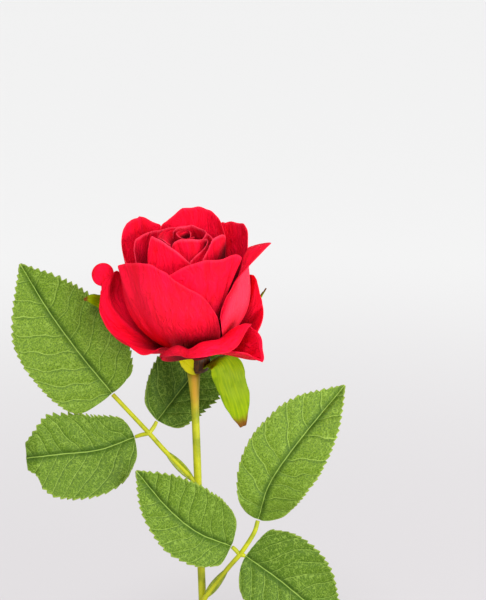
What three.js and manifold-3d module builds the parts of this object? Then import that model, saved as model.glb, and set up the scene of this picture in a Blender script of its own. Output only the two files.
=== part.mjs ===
// A red rose in a plain bud vase with water. Millimetres, +Z up, the flower's front faces -Y.
// The origin is the middle of the vase's foot. Every blade (petal, leaflet or sepal) is a thin closed
// sheet made by moving a grid of points with a formula, and the blades of one colour that hold
// together are joined into one solid.
import * as THREE from 'three';
import { mergeVertices } from 'three/addons/utils/BufferGeometryUtils.js';
import Module from 'manifold-3d';

const wasm = await Module();
wasm.setup();

// ---------------------------------------------------------------- driving dimensions
const GAP = 0.3; // between pieces that touch
const PETAL_THICKNESS = 0.7;
const LEAF_THICKNESS = 0.7;
const SEPAL_THICKNESS = 0.8;

const VASE_HEIGHT = 170;
const VASE_WALL = 3.5;
const VASE_FOOT_RADIUS = 28;
const VASE_BODY_RADIUS = 38;
const VASE_NECK_RADIUS = 10.2;
const VASE_LIP_RADIUS = 14;
const VASE_SIDES = 40;
const WATER_LEVEL = 92;

const STEM_RADIUS = 2;
const STEM_SIDES = 12;
const STEM_FOOT = new THREE.Vector3(1.6, 0, 6.1);
const STEM_TOP = new THREE.Vector3(-7.4, 0, 317.4);
const FUNNEL_LENGTH = 20;
const FUNNEL_RADIUS = 3.4;

const BLOOM_ROOT = new THREE.Vector3(-5.2, -1, 321);
const BLOOM_NOD = 10; // degrees towards the front
const BLOOM_LEAN = 4; // degrees to the left
const CORE_TOP = 20;
const CORE_RADIUS = 7.5;
const HIP_RADIUS = 6.5;
const HIP_FOOT = -2.6;
const HIP_TOP = 5.2;

const LEAF_SPREAD = 1.6; // the rows of a leaflet lie closer together near its base
const LEAF_ROWS = 26; // two to a tooth
const TOOTH_DEPTH = 1.5;
const TOOTH_LEAN = 1.2;

// ---------------------------------------------------------------- materials
const paint = (color, roughness) => new THREE.MeshStandardMaterial({ color, roughness, metalness: 0 });
const PETAL_RED = paint('#e3061f', 0.7);
const LEAF_GREEN = paint('#6f9027', 0.65);
const SEPAL_GREEN = paint('#8fa51c', 0.65);
const STALK_GREEN = paint('#b6bd29', 0.55);
const GLAZE = paint('#f1ece2', 0.2);
const WATER_BLUE = paint('#d7e4e6', 0.05);

// ---------------------------------------------------------------- geometry helpers
const radians = THREE.MathUtils.degToRad;

// A smooth run through the points, as Catmull and Rom's spline, with t from 0 to 1. The points are
// lists of numbers of one length.
function through(points, t) {
  const last = points.length - 1;
  const i = Math.min(Math.floor(t * last), last - 1);
  const f = t * last - i;
  const at = (k) => {
    if (k < 0) return points[0].map((v, n) => 2 * v - points[1][n]);
    if (k > last) return points[last].map((v, n) => 2 * v - points[last - 1][n]);
    return points[k];
  };
  const [a, b, c, d] = [at(i - 1), at(i), at(i + 1), at(i + 2)];
  return b.map((_, n) => 0.5 * (2 * b[n] + (c[n] - a[n]) * f
    + (2 * a[n] - 5 * b[n] + 4 * c[n] - d[n]) * f * f
    + (3 * b[n] - a[n] - 3 * c[n] + d[n]) * f ** 3));
}

// A value that may change along a blade: a plain number, or a list run through smoothly.
const along = (value, t) => (Array.isArray(value) ? through(value.map((v) => [v]), t)[0] : value);

// Leaves only positions, shares the vertices, drops flat triangles and turns the faces out.
function closed(geometry) {
  geometry.deleteAttribute('normal');
  geometry.deleteAttribute('uv');
  const merged = mergeVertices(geometry, 1e-3);
  const index = merged.getIndex().array;
  const corner = (k) => new THREE.Vector3().fromBufferAttribute(merged.getAttribute('position'), k);
  const kept = [];
  let volume = 0;
  for (let k = 0; k < index.length; k += 3) {
    const [a, b, c] = [index[k], index[k + 1], index[k + 2]];
    if (a === b || b === c || c === a) continue;
    kept.push(a, b, c);
    volume += corner(a).dot(corner(b).cross(corner(c)));
  }
  if (volume < 0) kept.reverse();
  merged.setIndex(kept);
  return merged;
}

function toSolid(geometry) {
  const vertProperties = new Float32Array(geometry.getAttribute('position').array);
  const triVerts = new Uint32Array(geometry.getIndex().array);
  return new wasm.Manifold(new wasm.Mesh({ numProp: 3, vertProperties, triVerts }));
}

// The solid's largest closed skin: a loose scrap or a hollow that the joining sealed is left out.
function toGeometry(solid) {
  const { vertProperties, triVerts } = solid.getMesh();
  const whole = new THREE.BufferGeometry();
  whole.setAttribute('position', new THREE.BufferAttribute(new Float32Array(vertProperties), 3));
  whole.setIndex([...triVerts]);
  const merged = closed(whole);
  const index = [...merged.getIndex().array];
  const parent = Array.from({ length: index.length / 3 }, (_, k) => k);
  const top = (k) => {
    while (parent[k] !== k) k = parent[k] = parent[parent[k]];
    return k;
  };
  const owners = new Map(); // of each edge, the first triangle that has it
  for (let k = 0; k < index.length; k++) {
    const triangle = Math.floor(k / 3);
    const ends = [index[k], index[k % 3 === 2 ? k - 2 : k + 1]].sort((p, q) => p - q).join();
    if (owners.has(ends)) parent[top(triangle)] = top(owners.get(ends));
    else owners.set(ends, triangle);
  }
  const groups = new Map();
  for (let k = 0; k < index.length; k += 3) {
    const group = top(k / 3);
    if (!groups.has(group)) groups.set(group, []);
    groups.get(group).push(...index.slice(k, k + 3));
  }
  merged.setIndex([...groups.values()].sort((a, b) => b.length - a.length)[0]);
  return closed(merged);
}

const fuse = (geometries) => toGeometry(geometries.map(toSolid).reduce((whole, next) => whole.add(next)));
const cut = (geometry, tool) => toGeometry(toSolid(geometry).subtract(toSolid(tool)));

// A sheet of one thickness over a grid of points: points[row][column], with both faces split alike.
function sheet(points, thickness) {
  const rows = points.length;
  const columns = points[0].length;
  const position = [];
  const near = (r, c) => points[Math.min(Math.max(r, 0), rows - 1)][Math.min(Math.max(c, 0), columns - 1)];
  for (const half of [thickness / 2, -thickness / 2]) {
    for (let r = 0; r < rows; r++) {
      for (let c = 0; c < columns; c++) {
        const up = near(r + 1, c).clone().sub(near(r - 1, c));
        const across = near(r, c + 1).clone().sub(near(r, c - 1));
        const out = across.cross(up).normalize();
        position.push(...points[r][c].clone().addScaledVector(out, half));
      }
    }
  }
  const index = [];
  const back = rows * columns;
  const vertex = (r, c) => r * columns + c;
  for (let r = 0; r < rows - 1; r++) {
    for (let c = 0; c < columns - 1; c++) {
      const [p, q, s, t] = [vertex(r, c), vertex(r, c + 1), vertex(r + 1, c + 1), vertex(r + 1, c)];
      index.push(p, q, s, p, s, t);
      index.push(back + p, back + s, back + q, back + p, back + t, back + s);
    }
  }
  const rim = [];
  for (let c = 0; c < columns; c++) rim.push(vertex(0, c));
  for (let r = 1; r < rows; r++) rim.push(vertex(r, columns - 1));
  for (let c = columns - 2; c >= 0; c--) rim.push(vertex(rows - 1, c));
  for (let r = rows - 2; r > 0; r--) rim.push(vertex(r, 0));
  rim.forEach((p, k) => {
    const q = rim[(k + 1) % rim.length];
    index.push(p, back + q, q, p, back + p, back + q);
  });
  const geometry = new THREE.BufferGeometry();
  geometry.setAttribute('position', new THREE.BufferAttribute(new Float32Array(position), 3));
  geometry.setIndex(index);
  return closed(geometry);
}

// A solid of revolution round +Z from [radius, height] points.
function turned(profile, sides) {
  const points = profile.map(([radius, height]) => new THREE.Vector2(radius, height));
  return closed(new THREE.LatheGeometry(points, sides).rotateX(Math.PI / 2));
}

// Stands a piece that was made along +Z at a point, along a direction.
function stand(geometry, point, direction) {
  const turn = new THREE.Quaternion().setFromUnitVectors(new THREE.Vector3(0, 0, 1), direction);
  return geometry.applyQuaternion(turn).translate(point.x, point.y, point.z);
}

function tube(points, radius, sides, steps) {
  const path = new THREE.CatmullRomCurve3(points.map((p) => new THREE.Vector3(...p)));
  const round = new THREE.Shape().absarc(0, 0, radius, 0, 2 * Math.PI);
  const outline = new THREE.Shape(round.getSpacedPoints(sides).slice(0, sides));
  return closed(new THREE.ExtrudeGeometry(outline, { steps, extrudePath: path, bevelEnabled: false }));
}

// ---------------------------------------------------------------- vase and water
// The outer wall from the foot to the lip, and the inner wall one wall thickness inside it.
const VASE_OUTSIDE = [
  [VASE_FOOT_RADIUS - 1.5, 0], [VASE_FOOT_RADIUS, 1.5], [VASE_FOOT_RADIUS + 3, 9], [VASE_BODY_RADIUS - 3, 24],
  [VASE_BODY_RADIUS - 0.4, 38], [VASE_BODY_RADIUS, 48], [VASE_BODY_RADIUS - 2, 62], [VASE_BODY_RADIUS - 8, 78],
  [VASE_BODY_RADIUS - 16, 93], [VASE_NECK_RADIUS + 5.5, 106], [VASE_NECK_RADIUS + 1.6, 120],
  [VASE_NECK_RADIUS, 136], [VASE_NECK_RADIUS + 0.2, 150], [VASE_NECK_RADIUS + 1.6, 161],
  [VASE_LIP_RADIUS - 0.6, VASE_HEIGHT - 2], [VASE_LIP_RADIUS, VASE_HEIGHT - 0.8],
];
const insideRadius = ([radius]) => radius - VASE_WALL;
const VASE_INSIDE = VASE_OUTSIDE.slice(2, -2).map((p) => [insideRadius(p), p[1]]);
VASE_INSIDE[0] = [VASE_FOOT_RADIUS - 5, 5.5];
const MOUTH = [[VASE_LIP_RADIUS - 1, VASE_HEIGHT], [VASE_LIP_RADIUS - 3, VASE_HEIGHT - 0.6]];

const vase = () => turned([[0, 0], ...VASE_OUTSIDE, ...MOUTH, ...VASE_INSIDE.toReversed(), [0, 5]], VASE_SIDES);

// Water follows the inner wall up to its level, and has the plain hole that the stem stands in.
function water() {
  const below = VASE_INSIDE.filter(([, height]) => height < WATER_LEVEL - 2);
  const next = VASE_INSIDE[below.length];
  const last = below[below.length - 1];
  const share = (WATER_LEVEL - last[1]) / (next[1] - last[1]);
  const brim = [last[0] + (next[0] - last[0]) * share - GAP, WATER_LEVEL];
  const wall = below.map(([radius, height]) => [radius - 2 * GAP, height + GAP]);
  const body = turned([[0, 5 + 2 * GAP], ...wall, brim, [0, WATER_LEVEL]], VASE_SIDES);
  const hole = STEM_RADIUS + GAP;
  return cut(body, onStem([[0, -GAP], [hole, -GAP], [hole, stemLength], [0, stemLength]]));
}

// ---------------------------------------------------------------- stem with its leaf stalks
const stemDirection = STEM_TOP.clone().sub(STEM_FOOT).normalize();
const stemLength = STEM_TOP.distanceTo(STEM_FOOT);

// A round solid about the stem's own line, from [radius, distance from the foot] points.
const onStem = (profile) => stand(turned(profile, STEM_SIDES), STEM_FOOT, stemDirection);

// The straight stalk, which opens into a funnel under the hip.
const stalkProfile = [
  [0, 0], [STEM_RADIUS, 0], [STEM_RADIUS, stemLength / 2], [STEM_RADIUS + 0.05, stemLength - FUNNEL_LENGTH],
  [STEM_RADIUS + 0.3, stemLength - 13], [FUNNEL_RADIUS - 0.5, stemLength - 6], [FUNNEL_RADIUS, stemLength],
  [0, stemLength],
];

const STALKS = [
  { // the left leaf's stalk, its side stalks and its stipule
    main: [[-5.3, 0, 256], [-9.8, 0.5, 261.5], [-22.7, 4, 274.2], [-32.2, 8.5, 283.6], [-49.8, 11.6, 302.3]],
    sides: [[[-31, 8, 282.4], [-35, 9.2, 281.2], [-38.3, 9.9, 279.9]],
      [[-31, 8, 282.4], [-28.7, 10, 285.2], [-27.3, 11.6, 287.6]]],
    sheath: [[-7.6, 0.3, 259], [-15, 1.8, 266.8], [-22.5, 4, 274]],
  },
  { // the right leaf's stalk
    main: [[-3.9, -0.5, 191.5], [-1.2, -4, 198], [9.8, -9, 215.1], [16.5, -12, 224.7], [23, -11, 235],
      [25.1, -9.2, 241.2]],
    sides: [[[15.8, -11.6, 223.6], [13.5, -12, 226.6], [11.9, -12, 228]],
      [[15.8, -11.6, 223.6], [17.4, -12.6, 223.8], [18.6, -12.9, 223.5]]],
    sheath: [[-2.6, -3, 195.6], [3, -6, 204.6], [9.6, -9, 214.8]],
  },
];
const STALK_RADIUS = 1.25;
const SIDE_STALK_RADIUS = 1.1;
const SHEATH_WIDTHS = [0.7, 2, 2.4, 1.9, 0.7];

// A stipule: two narrow wings along the foot of a leaf stalk.
const sheath = (line) => bladeSheet({
  line, facing: [0, -1, 0.3], left: SHEATH_WIDTHS, right: SHEATH_WIDTHS, fold: 20, spread: 1, teeth: false,
}, 8, 2, LEAF_THICKNESS + 0.5);

function stem() {
  const pieces = [onStem(stalkProfile)];
  for (const stalk of STALKS) {
    pieces.push(tube(stalk.main, STALK_RADIUS, 8, 14));
    for (const side of stalk.sides) pieces.push(tube(side, SIDE_STALK_RADIUS, 8, 3));
    pieces.push(sheath(stalk.sheath));
  }
  return fuse(pieces);
}

// ---------------------------------------------------------------- leaflets and sepals
// A point of a blade: s runs from its base to its tip and c from its left margin, -1, to its right, 1.
// The half widths are given at even steps of a run that is denser near the base.
function bladePoint(blade, s, c) {
  const { line, facing, left, right, fold, spread } = blade;
  const run = s ** spread;
  const step = 1e-3;
  const before = new THREE.Vector3(...through(line, Math.max(run - step, 0)));
  const after = new THREE.Vector3(...through(line, Math.min(run + step, 1)));
  const ahead = after.sub(before).normalize();
  const face = Array.isArray(facing[0]) ? through(facing, run) : facing;
  const side = ahead.clone().cross(new THREE.Vector3(...face)).normalize();
  const up = side.clone().cross(ahead);
  const offset = c * along(c < 0 ? left : right, s);
  const rise = Math.abs(offset) * Math.tan(radians(fold));
  return new THREE.Vector3(...through(line, run)).addScaledVector(side, offset).addScaledVector(up, rise);
}

// The margin of a leaflet has saw teeth: every other row stops short, and the rows between lean ahead.
function bladeSheet(blade, rows, half, thickness) {
  const points = [];
  for (let r = 0; r <= rows; r++) {
    const row = [];
    const s = r / rows;
    for (let k = -half; k <= half; k++) {
      const point = bladePoint(blade, s, k / half);
      const atMargin = Math.abs(k) === half;
      if (blade.teeth && atMargin && r > 0 && r < rows) {
        const middle = bladePoint(blade, s, 0);
        const inward = middle.sub(point).normalize();
        const ahead = bladePoint(blade, Math.min(s + 0.02, 1), k / half).sub(point).normalize();
        if (r % 2) point.addScaledVector(ahead, TOOTH_LEAN);
        else point.addScaledVector(inward, TOOTH_DEPTH);
      }
      row.push(point);
    }
    points.push(row);
  }
  return sheet(points, thickness);
}

const LEAFLETS = {
  leaflet_left_terminal: {
    line: [[-50.2, 12, 302.9], [-65, 3, 326], [-80, 0, 349.5], [-93.7, 2, 373]], facing: [0.05, -0.95, 0.3],
    left: [0.9, 17, 23, 25.5, 26.5, 26.5, 23.5, 13, 0.5], right: [0.9, 14, 20, 23.5, 24.5, 24, 22, 14.5, 0.5],
  },
  leaflet_left_outer: {
    line: [[-39, 10, 279.6], [-56.5, 3.5, 275], [-75, -2, 274.6], [-91.5, -8, 274.6]], facing: [0, -0.95, 0.3],
    left: [0.9, 9, 14.5, 19.5, 22.5, 24, 23.5, 20.5, 9], right: [0.9, 10, 14.8, 17.3, 19, 20.5, 21.5, 20.5, 8],
  },
  leaflet_left_inner: {
    line: [[-26.9, 12, 288.3], [-13.2, 20, 304.7], [0.5, 29, 319], [15.4, 38, 333.2]], facing: [0, -0.93, 0.35],
    left: [0.9, 9.5, 14, 17.5, 20, 20.5, 18, 10.5, 0.5], right: [0.9, 10.5, 14.8, 17.2, 18.8, 19.5, 17.5, 10, 0.5],
  },
  leaflet_right_terminal: {
    line: [[25.3, -9, 242], [31, -11.5, 262], [45, -8, 282.5], [69.7, 6, 309]], facing: [0, -0.95, 0.3],
    left: [0.9, 6.5, 10.5, 14.5, 18, 20.5, 20.8, 16.5, 0.5], right: [0.9, 7, 12.5, 16, 18, 19, 18.5, 13.5, 0.5],
  },
  leaflet_right_inner: {
    line: [[11.3, -12, 228.5], [-5, -15.5, 237], [-20.5, -17, 251], [-36.4, -14, 269.8]], facing: [0, -0.95, 0.3],
    left: [0.9, 10, 13, 15.5, 16.8, 17, 14.6, 9.8, 0.5], right: [0.9, 11.5, 17, 20, 21.5, 21.5, 20, 14.5, 0.5],
  },
  leaflet_right_outer: {
    line: [[19, -13, 223.4], [36, -19, 213], [53, -24, 200.5], [70, -26, 189.8]], facing: [0, -0.95, 0.3],
    left: [0.9, 17, 21, 23.8, 25, 24, 20, 11, 0.5], right: [0.9, 9, 16, 19.5, 21.5, 21.5, 18, 10.5, 0.5],
  },
};
const LEAF_FOLD = 9;

const leaflet = (shape) => bladeSheet(
  { ...shape, fold: LEAF_FOLD, spread: LEAF_SPREAD, teeth: true }, LEAF_ROWS, 2, LEAF_THICKNESS);

// Each sepal starts inside the hip. One hangs down at the front, the others lie along the petals' backs.
const SEPALS = {
  hanging: {
    line: [[-1.6, -3, 321.6], [2.5, -6.5, 325.3], [6.9, -9.5, 326.4], [10, -10.5, 321.8], [12.2, -10.5, 314],
      [15.2, -9, 303.5], [17.8, -5, 290.1]],
    facing: [[0, -0.3, 1], [0.5, -0.6, 0.8], [0.3, -0.9, 0.3], [0.3, -0.9, 0.3]],
    widths: [3, 6, 9.5, 9.6, 8, 6.8, 1.7],
  },
  backLeft: {
    line: [[-9.2, -0.3, 325], [-19.3, 1.2, 329.6], [-31.6, 2.6, 336.5], [-42.2, 3, 344.6],
      [-51.2, -1.6, 353.1], [-56.7, -5.5, 356.7], [-61.3, -7.5, 357]],
    facing: [[0.3, -0.2, 1], [0.3, -0.3, 1], [0.1, -0.9, 0.5], [0, -1, 0.2]],
    widths: [2.5, 5, 6, 5, 3.4, 2.6, 0.4],
  },
  backRight: {
    line: [[-2, 0.2, 325.6], [6.8, 3.1, 331.8], [16.8, 5.2, 340], [23.8, 4.2, 350.5], [26.6, 1.2, 357.4],
      [28.6, -1.2, 361.4]],
    facing: [-0.3, -0.5, 1], widths: [2.5, 5, 5.5, 3, 1, 0.4],
  },
  frontLeft: {
    line: [[-5.7, -3.5, 319.1], [-7.6, -7.5, 321.6], [-10, -11.5, 325.2], [-12.2, -15.5, 328.2],
      [-14.5, -19.5, 330.2]],
    facing: [0.3, -0.9, 0.3], widths: [2.2, 3.2, 3.4, 2.8, 0.6],
  },
  back: {
    line: [[-5.8, 2.2, 325.6], [-7, 11.2, 332.2], [-8.6, 21.8, 341.1], [-9.5, 29.9, 352.7],
      [-9.8, 33.1, 363.4], [-10.6, 33.3, 373.6]],
    facing: [0, -0.3, 1], widths: [2.5, 5, 6.5, 6, 4, 0.6],
  },
};

// ---------------------------------------------------------------- bloom
// The bloom's own directions: along its axis, to its right and to its back.
const axis = new THREE.Vector3(
  -Math.sin(radians(BLOOM_LEAN)) * Math.cos(radians(BLOOM_NOD)), -Math.sin(radians(BLOOM_NOD)),
  Math.cos(radians(BLOOM_LEAN)) * Math.cos(radians(BLOOM_NOD)));
const toRight = new THREE.Vector3(1, 0, 0).addScaledVector(axis, -axis.x).normalize();
const toBack = axis.clone().cross(toRight);

const bloomPoint = (turn, radius, height) => BLOOM_ROOT.clone()
  .addScaledVector(axis, height)
  .addScaledVector(toRight, radius * Math.cos(radians(turn)))
  .addScaledVector(toBack, radius * Math.sin(radians(turn)));

// A petal spans the turns of its rim, given as [turn, radius, height] in the bloom's own directions. Each
// rib is a cubic curve from the narrow root to the rim: it leaves the root at the angle rise above level
// and meets the rim at the angle flare out from upright. Ease says how soon a rib turns to its own place, and
// centre moves the rim to the right and back. A rolled rim goes on as an arc of length roll, turned by bend.
const PETALS = {
  heartTube: {
    rim: [[-150, 2.9, 67.5], [-60, 2.7, 69.4], [20, 2.6, 71.2], [100, 2.7, 71.8], [170, 3.1, 71.4],
      [230, 3.6, 70.6], [290, 4.2, 70.4], [330, 5, 70]],
    root: [40, 1, 1.8, 12], centre: [-0.4, 0.2], rise: 70, reach: 0.4, settle: 0.4,
    flare: [0, 0, 0, 10, 35, 30, 5, 0], roll: [0.4, 0.4, 0.4, 0.8, 1.6, 1.2, 0.4, 0.4], bend: 60, ribs: 9,
  },
  innerRight: {
    rim: [[-60, 7.6, 66], [-30, 8.6, 69.8], [2, 9.3, 71.3], [30, 9.5, 71.8], [52, 9.5, 72], [75, 9.5, 72.5],
      [95, 9.5, 72.6], [114, 9.4, 72.3], [142, 8.6, 71]],
    root: [40, 0.7, 3.5, 8], rise: 45, flare: -4, ribs: 7,
  },
  innerLeft: {
    rim: [[100, 9.6, 68], [125, 10.6, 70.6], [150, 11.4, 70.8], [180, 11.8, 70.4], [205, 11.4, 70.2],
      [226, 10.8, 69]],
    root: [165, 0.7, 3.5, 8], rise: 45, flare: [0, 10, 40, 50, 20, 0], roll: [0.4, 0.6, 2.2, 2.6, 1.2, 0.4],
    bend: 70, ribs: 6,
  },
  innerFront: {
    rim: [[224, 10.6, 65], [233, 10.2, 70.4], [251, 9.8, 72.4], [267, 9.8, 72.8], [284, 9.8, 72.6],
      [305, 9.8, 71.6], [335, 9.9, 70], [350, 10.4, 69.2], [334, 10.8, 67.8], [308, 11.2, 66],
      [289, 12, 64.4], [276, 13, 62.2]],
    root: [270, 0.4, 3.5, 8], rise: 40, flare: -6, ease: [1, 1, 1, 1, 1.4, 2, 3.5, 4, 4, 4], ribs: 8,
  },
  ringRight: {
    rim: [[297, 17, 63.3], [307, 17, 66.4], [314.5, 17, 70], [321, 17.2, 72.6], [332, 18, 73],
      [350, 18.8, 71.4], [361, 19.4, 68.4], [357, 18.6, 65.6], [342, 17.8, 65.4], [332, 17.5, 64.4],
      [334, 18, 61]],
    root: [322, 0.3, 4, 8], rise: 35, flare: [-6, -4, -2, 4, 8, 6, 0, 0],
    ease: [1, 1, 1, 1, 1.5, 3.5, 5, 6, 6, 6], ribs: 8,
  },
  ringBack: {
    rim: [[20, 15.5, 62], [50, 16, 66], [80, 16, 69], [105, 16, 70.4], [120, 16.2, 70.6], [136, 17, 70.6],
      [145, 18, 70.4]],
    root: [85, 0.7, 4, 8], rise: 35, flare: 0, ribs: 5,
  },
  ringLeft: {
    rim: [[208, 27, 54], [204, 27, 61], [199, 26.6, 65.6], [192, 26.2, 68], [182, 25.6, 70],
      [172, 24.6, 70.4], [162, 23, 70.2], [152, 21.4, 70.2], [140, 19.6, 70.4], [128, 18, 70]],
    root: [165, 0.7, 4, 8], rise: 30, flare: [8, 12, 10, 6, 2, 0], ribs: 7,
  },
  midLeft: {
    rim: [[217, 25, 57], [223.5, 25, 65], [226, 24.6, 73], [229.3, 23.2, 78.2], [234.9, 22, 76.8],
      [247.2, 20.4, 73.9], [256.6, 19.6, 70.6], [270.9, 19.4, 65.8], [279, 19.6, 62.4], [287, 20.5, 54]],
    root: [250, 0.7, 4, 8], rise: 33, flare: -5, ribs: 8,
  },
  backLeft: {
    rim: [[118, 30, 67.6], [128, 31, 71.3], [136, 32, 74.5], [138.6, 32.3, 75.4], [142.3, 32.5, 74.7],
      [151, 33, 74.9], [155, 33.2, 74.3], [160, 33.6, 71.9], [165, 33.6, 67], [171, 32.4, 60], [176, 30, 54]],
    root: [140, 0.6, 4.5, 7], rise: 33, flare: [6, 12, 4], ribs: 8,
  },
  backCentre: {
    rim: [[126, 26.5, 63], [119.5, 28, 68.4], [112, 28.5, 70], [105, 29, 72], [97.5, 29.5, 74.1],
      [92, 30, 75], [84, 30, 75.1], [76, 30, 74.7], [68.7, 29.5, 73.6], [62.4, 29, 71.9], [55, 28.5, 69],
      [46, 26.5, 61]],
    root: [85, 0.6, 4.5, 7], rise: 33, flare: [4, 8, 4], ribs: 8,
  },
  backRight: {
    rim: [[62, 28, 64], [54, 29, 68], [50, 29.5, 68.6], [44, 30, 68.8], [34.5, 31, 69.3], [26.5, 31.5, 69.8],
      [23.5, 31.5, 68], [19, 30.5, 63.4], [8, 29, 58], [-2, 28.4, 52]],
    root: [32, 0.6, 4.5, 7], rise: 33, flare: [4, 6, 4], ribs: 8,
  },
  frontRight: {
    rim: [[250, 28, 60], [268, 28.5, 65.3], [284.8, 28.5, 67.6], [293.7, 28.6, 67.5], [305.6, 29, 66.4],
      [318.4, 29.7, 66.5], [324, 30.6, 67], [328, 32, 64.4], [320, 30, 62.4], [311, 28.2, 58.7],
      [304, 27.8, 54], [299, 27.6, 49.1], [295, 27.4, 42], [293.5, 27.2, 38.3]],
    root: [283, 0.35, 4.5, 8], rise: 30, reach: 0.42, flare: [-4, -4, -4, -2, 0, 2, 8, 16, 10, 4, 0],
    ease: [1, 1, 1, 1.8, 3.2, 4.2, 3.8, 3, 3, 3], ribs: 12,
  },
  right: {
    rim: [[298, 31, 37], [303.5, 31, 44], [311, 31, 50], [319.5, 31.2, 54.4], [327, 31.4, 58.4],
      [339, 31.5, 64.6], [356, 30.5, 63], [370, 30, 56], [384, 29, 47]],
    root: [343, 0.6, 4.5, 7], rise: 30, reach: 0.58, settle: [0.35, 0.3, 0.2, 0.14, 0.1, 0.1, 0.25, 0.35],
    flare: [-2, 0, 8, 25, 45, 55, 15, 0], roll: [0.5, 1.2, 3.2, 5, 8, 14, 2, 0.4, 0.4],
    bend: [60, 70, 60, 40, 30, 25, 20], ribs: 8,
  },
  frontLeft: {
    rim: [[196, 33.6, 46], [202.5, 34.4, 54], [208.5, 35.2, 60.2], [210, 37.6, 64.8], [215.5, 36.6, 66.4],
      [224, 35.6, 67.8], [233.2, 35, 68.9], [240.8, 34, 69.3], [247.5, 33, 66.8], [255.1, 32, 63.6],
      [263, 31.5, 59.6], [273, 31.5, 55.6], [282, 31.5, 51.8], [287.2, 31.5, 47.5], [291.4, 31.8, 43.2],
      [294.8, 32, 38.7], [296.4, 31.6, 32]],
    root: [240, 0.6, 4.5, 7], rise: 30, reach: 0.45, flare: [2, 4, 14, 2, -3, -4, -4, -2, 0], ribs: 13,
  },
  farRight: {
    rim: [[30, 29, 40], [16, 30, 45.5], [5, 32, 46.8], [4, 33, 42.8], [4, 34, 36], [4, 35, 30], [-8, 35, 26],
      [-20, 34, 22]],
    root: [5, 0.6, 5, 7], rise: 30, flare: [0, 8, 10, 20], ribs: 7,
  },
  lowerFront: {
    rim: [[243.4, 34.2, 19.6], [246.9, 35, 22.6], [250.9, 35.3, 25.2], [257.8, 35.5, 27.5], [262, 35.6, 26.6],
      [266, 35.6, 25.2], [270.5, 36, 26.2], [277.7, 36, 28.9], [286.4, 36, 29.4], [295.6, 35.6, 28.6],
      [304.1, 35.2, 30.1], [311.5, 34.8, 32], [316.7, 34.6, 32], [323.8, 34.4, 30.4]],
    root: [285, 0.6, 5, 6], rise: 35, reach: 0.35, settle: 0.25,
    flare: [40, 50, 70, 80, 80, 80, 80, 80, 80, 75, 60, 40],
    roll: [0.4, 2.5, 4.5, 5.5, 4.5, 4, 5.5, 8.5, 9, 8.5, 8, 6, 4, 2], bend: 100, ribs: 12,
  },
  lowerRight: {
    rim: [[297.7, 38, 22.9], [306.7, 43, 21.4], [311.2, 46, 18.9], [314, 47.5, 17.8], [317, 43.5, 22.4],
      [321, 39.5, 26.6], [323, 36.5, 28.5], [321, 34, 31]],
    root: [315, 0.6, 5, 6.5], rise: 30, flare: [60, 70, 60, 50], roll: [0.4, 0.4, 0.4, 2, 6, 7, 5, 0.4],
    bend: 200, ribs: 7,
  },
  left: {
    rim: [[242, 33, 24.2], [233, 40, 23.2], [219.5, 41.5, 27.4], [205, 43.5, 29.5], [196, 45, 34],
      [193, 46, 40], [193, 44.2, 47.5], [192.5, 40.5, 52.4], [191, 38, 54], [187, 37.5, 54],
      [184, 36.6, 54.4], [180, 35.6, 54.4], [170, 34, 50], [155, 32, 38]],
    root: [205, 0.6, 5, 7], rise: 30, flare: [78, 68, 46, 22, 10, 0, -10, -25, -30, -30, -20, -5, 0],
    roll: [0.4, 0.4, 0.4, 0.4, 0.4, 0.4, 0.4, 8, 24, 24, 5, 0.4, 0.4, 0.4], bend: 290, ribs: 11,
  },
  outerBackLeft: {
    rim: [[160, 30, 40], [148, 36, 48], [132, 39, 52], [115, 39, 52], [100, 37, 48], [90, 31, 40]],
    root: [125, 0.6, 5, 7], rise: 30, flare: [15, 30, 15], ribs: 5,
  },
  outerBackRight: {
    rim: [[88, 31, 40], [78, 36, 47], [64, 38, 50], [50, 37, 49], [38, 34, 44], [30, 30, 38]],
    root: [60, 0.6, 5, 7], rise: 30, flare: [15, 30, 15], ribs: 5,
  },
};
const RIB_STEPS = 6;
const ROLL_STEPS = 4;

// A point of a petal: u runs along the rim and t from the root, 0, to the rim, 1, and over the roll to 2.
function petalPoint(petal, u, t) {
  const { rim, root: [middle, share, rootRadius, rootHeight] } = petal;
  const { reach = 0.45, settle = 0.35, ease = 1, centre: [across, back] = [0, 0] } = petal;
  const [turn, radius, height] = through(rim, u);
  const length = Math.hypot(radius - rootRadius, height - rootHeight);
  const rise = radians(petal.rise);
  const flare = radians(along(petal.flare, u));
  const curve = new THREE.CubicBezierCurve(
    new THREE.Vector2(rootRadius, rootHeight),
    new THREE.Vector2(Math.cos(rise), Math.sin(rise)).multiplyScalar(along(reach, u) * length)
      .add(new THREE.Vector2(rootRadius, rootHeight)),
    new THREE.Vector2(radius, height)
      .sub(new THREE.Vector2(Math.sin(flare), Math.cos(flare)).multiplyScalar(along(settle, u) * length)),
    new THREE.Vector2(radius, height));
  const up = Math.min(t, 1);
  const opened = share + (1 - share) * (ease === 1 ? Math.sin(up * Math.PI / 2) : up ** along(ease, u));
  const place = curve.getPoint(up);
  if (t > 1) {
    const arc = Math.max(0.4, along(petal.roll, u)) * (t - 1);
    const bend = radians(along(petal.bend, u)) * Math.min(1, along(petal.roll, u) / 3) * (t - 1);
    const chord = arc * (Math.sin(bend / 2) / (bend / 2 || 1));
    place.add(new THREE.Vector2(Math.sin(flare + bend / 2), Math.cos(flare + bend / 2)).multiplyScalar(chord));
  }
  return bloomPoint(middle + (turn - middle) * opened, place.x, place.y)
    .addScaledVector(toRight, across * up).addScaledVector(toBack, back * up);
}

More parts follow.
